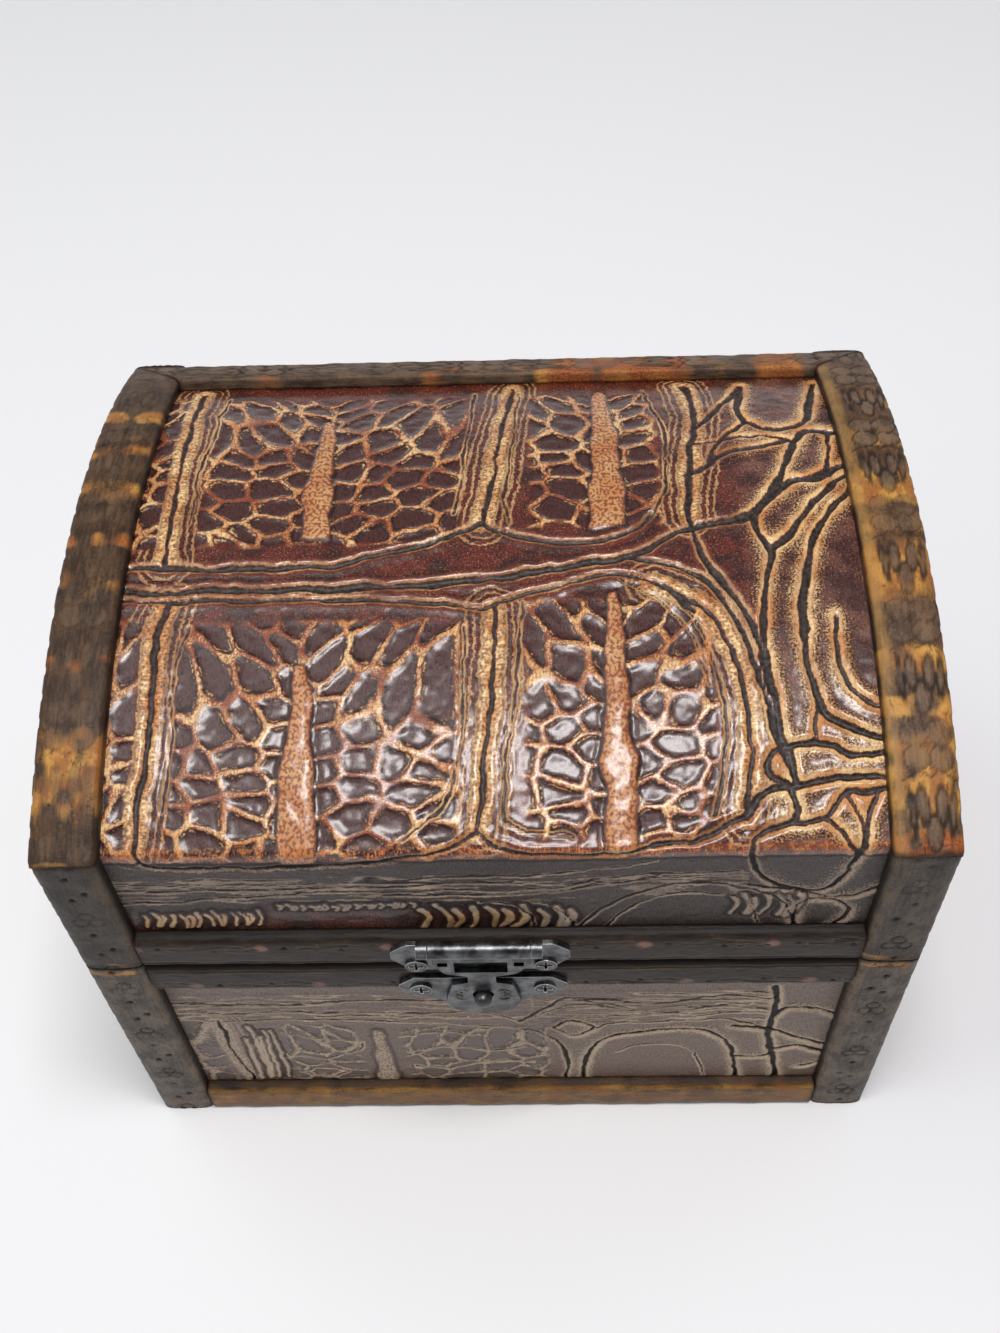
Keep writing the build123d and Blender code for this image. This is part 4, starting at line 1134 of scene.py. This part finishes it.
def ridgeStrip():
    thick, width = chest["stripThick"], chest["stripWidth"]
    start = arcLength - width

    def place(t, w, h):
        reach = start + (w / width + 0.5) * (arcLength - hideTurn * (1 - h / thick) - start)
        return onDome(t, hideRadius + h, reach / domeRadius - chest["domeAngle"])

    def ends(w, h):
        run = stripInX + (w / width + 0.5) * chest["cornerWidth"]
        return -run, run

    stripPiece(
        "lid_ridge",
        "lid_back_ridge_strip",
        "lid",
        [(place, ends, width)],
        shift=3,
        glow=[(-52, 8, 0.4, 0.6), (-8, 9, 0.4, 0.6), (28, 22, 0.85, 0.9), (62, 7, 0.7, 0.8)],
        seed=47,
        nicks=0.35,
        ash=0.35,
        flank=0.7,
    )


longShared = {"nicks": 0.12, "rounding": 1.5, "motif": "slits"}
longLooks = {
    "lip": {**longShared, "carved": 1.4, "tone": 0.85, "spots": 1.0, "shift": 5.0, "seamShade": 0.9, "outer": -1},
    "rim": {**longShared, "carved": 1.4, "tone": 0.9, "spots": 0.8, "shift": 14.0, "seamShade": 0.9, "outer": 1},
    "foot": {**longShared, "carved": 0.15, "tone": 0.2, "glow": [(0, 200, 0.6, 0.1)], "patchy": 0.2},
}


def longStrips():
    low, strip, rim = chest["lidBase"], chest["stripWidth"], chest["rim"]
    inner = hideY - strip
    levels = (("lip", "lid", low + strip / 2), ("rim", "base", rim - strip / 2), ("foot", "base", strip / 2))
    for kind, body, z in levels:
        for side, name in ((-1, "front"), (1, "back")):
            part = straight((0, side * hideY, z), (-side, 0, 0), (0, 0, 1)), level(-stripInX, stripInX), strip
            piece, seed = f"{body}_{name}_{kind}", 60 + int(z) + side
            stripPiece(piece, piece + "_strip", body, [part], seed=seed, **longLooks[kind])
        for side, name in ((-1, "left"), (1, "right")):
            part = straight((side * hideX, 0, z), (0, side, 0), (0, 0, 1)), level(-inner, inner), strip
            piece, seed = f"{body}_{name}_end_{kind}", 90 + int(z) + side
            stripPiece(piece, piece + "_strip", body, [part], seed=seed, **longLooks[kind])


def endStrips():
    low, strip, rim = chest["lidBase"], chest["stripWidth"], chest["rim"]
    inner = hideY - strip
    archMiddle = hideRadius - strip / 2
    legTop = domeTop(inner, chest["stripThick"] + strip)
    for side, name in ((-1, "left"), (1, "right")):
        x = side * hideX
        uprights, legs = [], []
        for sideY in (-1, 1):
            place = straight((x, sideY * (inner + strip / 2), 0), (0, 0, -1), (0, side, 0))
            uprights.append((place, level(-rim, 0.0), strip))

            def legEnds(w, h, turned=sideY * side):
                outer = np.clip(0.5 + turned * w / strip, 0, 1)
                return -(legTop + outer * (hideCrease - legTop)), -low + 0 * w

            legs.append((place, legEnds, strip))

        def archPlace(t, w, h):
            return onDome(side * (hideX + h), archMiddle + w, side * t / hideRadius)

        def archEnds(w, h):
            y = hideY - np.clip(0.5 - w / strip, 0, 1) * strip
            reach = np.arcsin(y / (archMiddle + w)) * hideRadius
            return -reach, reach

        glow = [(-60, 4, 0.5), (-20, 8, 0.45), (30, 6, 0.6)]
        piece, node = f"base_{name}_uprights", f"base_{name}_end_upright_strips"
        stripPiece(piece, node, "base", uprights, seed=80 + side, glow=glow)
        piece, node = f"lid_{name}_arch", f"lid_{name}_end_arch_strip"
        arch = [*legs, (archPlace, archEnds, strip)]
        stripPiece(piece, node, "lid", arch, seed=84 + side, glow=glow)


cornerStrips()
domeStrips()
ridgeStrip()
longStrips()
endStrips()
print("strips carved")


# ---- boards and lining
def boardWood():
    made = Recipe("plain board")
    where = made.place()
    long = made.stretch(where, (60.0, 1400.0, 1400.0))
    fibre = made.noise(long, 1.0, 5.0, 0.6)
    rings = made.noise(made.stretch(where, (20.0, 260.0, 260.0)), 1.0, 2.0, 0.5, 0.8)
    colour = made.mix(rings.step(0.35, 0.65), paint(150, 112, 76), paint(118, 82, 54))
    colour = made.mix(fibre.step(0.55, 0.8) * 0.5, colour, paint(84, 58, 40))
    normal = made.bump(fibre, 0.3, 0.0002)
    return made.finish(Base_Color=colour, Roughness=0.62 + (fibre - 0.5) * 0.2, Normal=normal)


def feltCloth():
    made = Recipe("lining felt")
    where = made.place()
    fuzz = made.noise(where, 2600.0, 4.0, 0.7)
    worn = made.noise(where, 45.0, 3.0, 0.55)
    colour = made.mix(fuzz.step(0.35, 0.7), paint(62, 16, 20), paint(110, 34, 38))
    colour = made.mix(worn.step(0.5, 0.72) * 0.35, colour, paint(128, 52, 50))
    normal = made.bump(fuzz, 0.7, 0.0004)
    sheen = {"Sheen_Weight": 0.12, "Sheen_Roughness": 0.5}
    return made.finish(Base_Color=colour, Roughness=0.92, Normal=normal, **sheen)


def metalSurface(name, dark, light, edge, roughLow):
    # plated steel: brighter at broken edges, as worn plating and as painted highlight; painted shade, near
    # black, in the cross of a screw
    made = Recipe(name)
    where = made.place()
    worn = made.field("worn")
    cloud = made.noise(where, 320.0, 4.0, 0.6)
    grit = made.noise(where, 1900.0, 3.0, 0.65)
    spots = made.node("TexVoronoi", {}, {"Vector": where, "Scale": 900.0})
    colour = made.mix(cloud.step(0.35, 0.68), dark, light)
    colour = made.mix(spots.step(0.2, 0.08) * 0.5, colour, paint(24, 22, 22))
    # the broken edges lighter: worn plating, and painted highlight
    colour = made.mix(worn.step(0.1, 0.9) * grit.step(0.3, 0.5), colour, edge)
    # painted shade in the cross cut into a screw's head
    colour = made.mix(worn.step(-0.1, -0.9), colour, paint(14, 13, 13))
    height = grit * 0.6 + cloud * 0.5
    normal = made.bump(height, 0.35, 0.00025)
    roughness = roughLow + cloud * 0.25 + (grit - 0.5) * 0.15
    return made.finish(Base_Color=colour, Metallic=0.9, Roughness=roughness, Normal=normal)


boardMaterial = boardWood()
feltMaterial = feltCloth()
latchMaterial = metalSurface(
    "dark gunmetal", paint(52, 53, 54), paint(112, 114, 115), paint(176, 178, 178), 0.22
)
screwMaterial = metalSurface(
    "dark screw steel", paint(50, 50, 51), paint(98, 99, 100), paint(182, 182, 180), 0.26
)
hingeMaterial = metalSurface(
    "hinge metal", paint(84, 76, 62), paint(134, 120, 92), paint(176, 160, 126), 0.3
)

for nodeName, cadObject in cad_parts.items():
    if nodeName.endswith(("panel", "board")) or nodeName == "base_floor":
        cadObject.data.materials.clear()
        cadObject.data.materials.append(boardMaterial)


lining = {
    "step": 2.0,  # between the points of the felt's grids
    "lift": chest["liningThick"] * 0.85,  # the felt's face from the board
    "rolled": 1.2,  # width of a sheet's thinner rim
    "base": (4.5, chest["rim"] - 1),  # from the top of the pad to below the rim
    "lid": chest["lidBase"] + 1,
    "pad": {"gap": chest["liningThick"] + 0.3, "bottom": 3.02, "edge": 3.1, "high": 1.1, "crown": 0.25},
    "under": chest["stripThick"] + chest["hideThick"] + 3.0,  # inner face of the dome board
}
innerX, innerY = chest["halfWidth"] - chest["boardIn"], chest["halfDepth"] - chest["boardIn"]


def feltPiece(name, spots, faces, body):
    spots = np.concatenate(spots) if isinstance(spots, list) else spots.reshape(-1, 3)
    return makeMesh(name, spots, faces, body, [f"{body}_lining"], feltMaterial)


def wallFelt(body, name, low, high, seed):
    # a sheet on an upright wall of the box or lid, with a soft nap and a rolled rim
    side, long = (-1 if name in ("front", "left") else 1), name in ("front", "back")
    start = np.array([-innerX, side * innerY, low] if long else [side * innerX, -innerY, low])
    across = np.array([2 * innerX, 0, 0] if long else [0, 2 * innerY, 0])
    out = np.array([0, -side, 0] if long else [-side, 0, 0])
    spanU, spanV = float(across.max()), high - low
    u, v = np.meshgrid(*(between(0, 1, 1 / max(2, int(span / lining["step"]))) for span in (spanU, spanV)))
    rimGap = np.minimum(np.minimum(u, 1 - u) * spanU, np.minimum(v, 1 - v) * spanV)
    lift = rampUp(rimGap, 0, lining["rolled"]) * (1 + 0.12 * softNoise(u * spanU, v * spanV, 9.0, seed))
    lift = lift * lining["lift"]
    spots = start + u[..., None] * across + v[..., None] * np.array([0, 0, spanV]) + lift[..., None] * out
    flip = np.cross(across, [0, 0, spanV]) @ out < 0
    piece = feltPiece(f"{body}_{name}_felt", spots, gridFaces(*u.shape, flip=flip), body)


def floorPad():
    # the pad on the floor, crowned
    pad = lining["pad"]
    spanX, spanY = innerX - pad["gap"], innerY - pad["gap"]
    x, y = np.meshgrid(between(-spanX, spanX, lining["step"]), between(-spanY, spanY, lining["step"]))
    rimGap = np.minimum(spanX - np.abs(x), spanY - np.abs(y))
    z = pad["edge"] + pad["high"] * rampUp(rimGap, 0, 2.5) + pad["crown"] * rampUp(rimGap, 0, 30)
    z = z + 0.06 * softNoise(x, y, 12.0, 110)
    spots = np.stack([x, y, z], -1).reshape(-1, 3)
    bottom = spots.copy()
    bottom[:, 2] = pad["bottom"]
    rows, columns = x.shape
    total = rows * columns
    faces = gridFaces(rows, columns) + gridFaces(rows, columns, total, flip=True)
    ring = list(range(columns))
    ring += [row * columns + columns - 1 for row in range(1, rows)]
    ring += [(rows - 1) * columns + column for column in range(columns - 2, -1, -1)]
    ring += [row * columns for row in range(rows - 2, 0, -1)]
    for first, second in zip(ring, ring[1:] + ring[:1]):
        faces.append([first, first + total, second + total, second])
    feltPiece("base_floor_pad", [spots, bottom], faces, "base")


def domeFelt():
    # the sheet on the lid's ceiling
    under, step = lining["under"], lining["step"]
    half = math.asin((innerY - 0.2) / (domeRadius - under))
    x, angle = np.meshgrid(between(-innerX, innerX, step), between(-half, half, step / domeRadius))
    lift = lining["lift"] * (1 + 0.1 * softNoise(x, angle * 140, 9.0, 111))
    spots = onDome(x, domeRadius - under - lift, angle)
    piece = feltPiece("lid_dome_felt", spots, gridFaces(*x.shape, flip=True), "lid")


def lidEndFelts():
    # the sheets on the lid's two ends, domed on top
    under, low = lining["under"], lining["lid"]
    for side, name in ((-1, "left"), (1, "right")):
        y, part = np.meshgrid(between(-innerY, innerY, lining["step"]), between(0, 1, 1 / 24))
        ceiling = domeTop(y, under)
        rise = part * (ceiling - low)
        lift = lining["lift"] * rampUp(np.minimum(rise, innerY - np.abs(y)), 0, lining["rolled"])
        spots = np.stack([side * (innerX - lift), y, low + rise], -1)
        piece = feltPiece(f"lid_{name}_felt", spots, gridFaces(*y.shape, flip=side > 0), "lid")


def linings():
    for count, name in enumerate(("front", "back", "left", "right")):
        wallFelt("base", name, *lining["base"], 100 + count)
    floorPad()
    domeFelt()
    for side, name in ((-1, "front"), (1, "back")):
        wallFelt("lid", name, lining["lid"], float(domeTop(innerY, lining["under"])), 120 + side)
    lidEndFelts()


linings()
print("linings laid")


# ---- metal
recess = {"reach": 1.45, "top": 0.1, "bottom": 0.5}  # the cross in a screw's head, in mm
screwPlaces = {
    "latch_upper_screws": [(-16.1, 78.2), (9.1, 78.2)],
    "latch_lower_screws": [(-15.9, 67.6), (8.9, 67.6)],
    "hinge_base_screws": [(x, 69.1) for x in (-50.5, -39.5, 39.5, 50.5)],
    "hinge_lid_screws": [(x, 81.5) for x in (-50.5, -39.5, 39.5, 50.5)],
}


def inRecess(face, places, outermost):
    # whether a face of a screw belongs to the cross that is cut into its head
    middle = face.calc_center_median() / metre
    depth = abs(middle.y - outermost)
    near = min(math.hypot(middle.x - x, middle.z - z) for x, z in places)
    return recess["top"] < depth < recess["bottom"] and near < recess["reach"]


def softened(node, body, material, width):
    # a metal piece with its edges broken, made from the frame's own shape
    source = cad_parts[node]
    mesh = source.data.copy()
    shape = bmesh.new()
    shape.from_mesh(mesh)
    bmesh.ops.remove_doubles(shape, verts=shape.verts, dist=1e-6)
    bmesh.ops.dissolve_limit(shape, angle_limit=math.radians(2), verts=shape.verts, edges=shape.edges)
    inner = [edge for edge in shape.edges if len(edge.link_faces) == 2]
    sharp = [edge for edge in inner if edge.calc_face_angle() > math.radians(35)]
    worn = shape.faces.layers.float.new("worn")
    bevel = {"offset_type": "OFFSET", "segments": 2, "profile": 0.5, "affect": "EDGES", "clamp_overlap": True}
    broken = bmesh.ops.bevel(shape, geom=sharp, offset=width * metre, **bevel)
    # bevelled faces are marked 1, which the metal paints lighter: worn plating and painted highlight
    for face in broken["faces"]:
        face[worn] = 1.0
    # the cross in a screw's head is marked -1, which the metal paints near black as shade
    if node in screwPlaces:
        depths = [corner.co.y / metre for corner in shape.verts]
        outermost = min(depths) if node.startswith("latch") else max(depths)
        for face in shape.faces:
            if inRecess(face, screwPlaces[node], outermost):
                face[worn] = -1.0
    shape.to_mesh(mesh)
    shape.free()
    mesh.materials.clear()
    mesh.materials.append(material)
    mesh.polygons.foreach_set("use_smooth", [True] * len(mesh.polygons))
    piece = bpy.data.objects.new(node + "_metal", mesh)
    bpy.context.scene.collection.objects.link(piece)
    piece.modifiers.new("flat faces stay flat", "WEIGHTED_NORMAL")
    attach(piece, body)
    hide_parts(node)


metalPieces = {  # body, material, slot, and how wide the edges are broken in mm
    "latch_upper_plate": ("lid", latchMaterial, "latch_steel", 0.22),
    "latch_lower_plate": ("base", latchMaterial, "latch_steel", 0.22),
    "hasp": ("hasp", latchMaterial, "latch_steel", 0.2),
    "latch_stud": ("base", screwMaterial, "latch_steel", 0.05),
    "latch_upper_screws": ("lid", screwMaterial, "screw_steel", 0.12),
    "latch_lower_screws": ("base", screwMaterial, "screw_steel", 0.12),
    "hasp_pin": ("lid", screwMaterial, "screw_steel", 0.1),
    "hinge_left_base_leaf": ("base", hingeMaterial, "latch_steel", 0.12),
    "hinge_right_base_leaf": ("base", hingeMaterial, "latch_steel", 0.12),
    "hinge_left_lid_leaf": ("lid", hingeMaterial, "latch_steel", 0.12),
    "hinge_right_lid_leaf": ("lid", hingeMaterial, "latch_steel", 0.12),
    "hinge_pins": ("base", hingeMaterial, "screw_steel", 0.1),
    "hinge_base_screws": ("base", hingeMaterial, "screw_steel", 0.1),
    "hinge_lid_screws": ("lid", hingeMaterial, "screw_steel", 0.1),
}
for nodeName, (bodyName, metal, slotName, width) in metalPieces.items():
    softened(nodeName, bodyName, metal, width)


haspScroll = {
    "middle": (-3.5, 66.8),
    "front": -67.25,
    "radius": 0.17,
    "taper": (0.3, 1, 0.7),  # its share at the start, soon after it and at the end
    "sides": 6,
    "path": [(2.9, 1.5), (3.9, 2.2), (5.2, 1.7), (5.5, 0.7), (4.7, 0.2), (4.1, 0.8), (4.6, 1.3)],
}


def haspScrolls():
    # four small curls cast in relief beside the hole of the hasp
    spots, faces = [], []
    middleX, middleZ = haspScroll["middle"]
    count = haspScroll["sides"]
    turns = np.linspace(0, 2 * math.pi, count, endpoint=False)
    for sideX, sideZ in ((-1, -1), (-1, 1), (1, -1), (1, 1)):
        points = [(middleX + sideX * x, middleZ + sideZ * z) for x, z in haspScroll["path"]]
        route = smoothRoute(points, 0.2)
        length = len(route)
        run = np.gradient(route, axis=0)
        run /= np.linalg.norm(run, axis=1)[:, None]
        radius = haspScroll["radius"] * np.interp(np.arange(length), [0, 4, length - 1], haspScroll["taper"])
        radius = radius[:, None]
        ring = np.stack([
            route[:, :1] - run[:, 1:] * np.cos(turns) * radius,
            haspScroll["front"] + 0 * radius - np.sin(turns) * radius,
            route[:, 1:] + run[:, :1] * np.cos(turns) * radius,
        ], -1)
        start = sum(len(part) for part in spots)
        for low in range(start, start + (length - 1) * count, count):
            for column in range(count):
                after = (column + 1) % count
                faces.append([low + column, low + after, low + count + after, low + count + column])
        faces.append([start + k for k in range(count)][::-1])
        faces.append([start + (length - 1) * count + k for k in range(count)])
        spots.append(ring.reshape(-1, 3))
    makeMesh("hasp_scrolls", np.concatenate(spots), faces, "hasp", [], latchMaterial)


haspScrolls()
print("metal fitted")


# ---- floor, light and camera
def seenBy(made, *kinds):
    # 1 for rays of these kinds: from the camera, a gloss or a clear material
    seen = [made.node("LightPath", {}, {}, f"Is {kind} Ray") for kind in kinds]
    return seen[0] if len(seen) == 1 else seen[0].highest(seen[1])


stage = {
    "size": 12.0,
    "cloth": (0.5, 1.3),  # between these distances the cloth turns into plain background, in metres
    "below": 0.0002,  # under the chest, so that the two faces don't meet
    "background": (0.96, 0.97, 1.0, 1),
    "skyLight": 0.22,
    "mirrored": (0.24, 0.1),  # a gloss shows the white background below this height of its ray
}


def setStage():
    # a cloth that turns into plain pale background away from the chest
    floor = Recipe("pale cloth floor")
    where = floor.place()
    weave = floor.noise(where, 900.0, 2.0, 0.5)
    shade = floor.mix(weave * 0.2, (0.80, 0.81, 0.82, 1), (0.74, 0.75, 0.765, 1))
    cloth = floor.node("BsdfPrincipled", {}, {"Base Color": shade, "Roughness": 0.95})
    far = floor.node("VectorMath", {"operation": "LENGTH"}, {0: where}, "Value").step(*stage["cloth"])
    glow = floor.node("Emission", {}, {"Color": stage["background"], "Strength": 1.0})
    seen = seenBy(floor, "Camera").highest(seenBy(floor, "Glossy", "Transmission"))
    both = floor.node("MixShader", {}, {0: far * seen, 1: cloth, 2: glow})
    floor.node("OutputMaterial", {}, {"Surface": both})
    shape = bmesh.new()
    bmesh.ops.create_grid(shape, x_segments=2, y_segments=2, size=stage["size"])
    mesh = bpy.data.meshes.new("floor")
    shape.to_mesh(mesh)
    shape.free()
    mesh.materials.append(floor.owner)
    piece = bpy.data.objects.new("floor", mesh)
    piece.location.z = -stage["below"]
    bpy.context.scene.collection.objects.link(piece)


lamps = {  # place, aim, width and length in metres, power in watts, tint
    "overhead": ((0.06, -0.16, 1.2), (0.02, -0.03, 0.1), (0.42, 0.2), 11.0, (1.0, 0.96, 0.96)),
    "ceiling": ((-0.6, 0.25, 1.2), (0.0, 0.0, 0.06), (0.8, 0.8), 2.6, (0.97, 1.0, 0.99)),
    "window": ((-0.9, -0.3, 0.7), (0.0, 0.0, 0.06), (0.5, 0.5), 1.9, (0.97, 1.0, 0.99)),
    "fill": ((0.7, -0.6, 0.45), (0.0, 0.0, 0.06), (0.6, 0.6), 0.4, (0.98, 0.98, 1.0)),
    "leftBack": ((-0.85, 0.6, 0.55), (0.0, 0.0, 0.06), (0.5, 0.5), 0.7, (1.0, 1.0, 1.0)),
    "rightBack": ((0.85, 0.6, 0.55), (0.0, 0.0, 0.06), (0.5, 0.5), 0.7, (1.0, 1.0, 1.0)),
}


def setLamps():
    for name, (spot, aim, size, power, tint) in lamps.items():
        lamp = bpy.data.lights.new(name, "AREA")
        lamp.shape = "RECTANGLE"
        lamp.size, lamp.size_y = size
        lamp.energy = power
        lamp.color = tint
        holder = bpy.data.objects.new(name, lamp)
        holder.location = spot
        away = Matrix.Translation(spot).translation - Matrix.Translation(aim).translation
        holder.rotation_euler = away.to_track_quat("Z", "Y").to_euler()
        bpy.context.scene.collection.objects.link(holder)
    # the studio: soft light, a pale background, and that background low down in what mirrors it
    studio = Recipe("studio", "worlds")
    bpy.context.scene.world = studio.owner
    where = studio.node("TexCoord", {}, {}, "Generated")
    height = studio.node("SeparateXYZ", {}, {0: where}, "Z")
    soft = studio.node("Background", {}, {"Color": (0.92, 0.95, 1.0, 1), "Strength": stage["skyLight"]})
    white = studio.node("Background", {}, {"Color": stage["background"], "Strength": 1.0})
    mirrored = seenBy(studio, "Glossy", "Transmission") * height.step(*stage["mirrored"])
    both = studio.node("MixShader", {}, {0: seenBy(studio, "Camera").highest(mirrored), 1: soft, 2: white})
    studio.node("OutputWorld", {}, {"Surface": both})


view = {  # where the camera stands in mm, how it is turned in degrees, and its lens in mm
    "place": (9.946, -196.474, 348.990),
    "turn": 2.850,
    "down": 53.169,
    "tilt": 3.220,
    "lens": 41.03,
}


def setCamera():
    turn, down, tilt = (math.radians(view[key]) for key in ("turn", "down", "tilt"))
    yaw, roll = Matrix.Rotation(turn, 3, "Z"), Matrix.Rotation(tilt, 3, "Z")
    pitch = Matrix.Rotation(down - math.pi / 2, 3, "X")
    rows = roll @ pitch @ yaw.transposed()
    camera = bpy.data.cameras.new("camera")
    camera.lens = view["lens"]
    camera.sensor_width = 36.0
    camera.clip_start = 0.01
    holder = bpy.data.objects.new("camera", camera)
    place = Matrix.Translation([value * metre for value in view["place"]])
    holder.matrix_world = place @ rows.transposed().to_4x4()
    bpy.context.scene.collection.objects.link(holder)
    bpy.context.scene.camera = holder
    bpy.context.scene.view_settings.view_transform = "Standard"


setStage()
setLamps()
setCamera()
print("stage set")
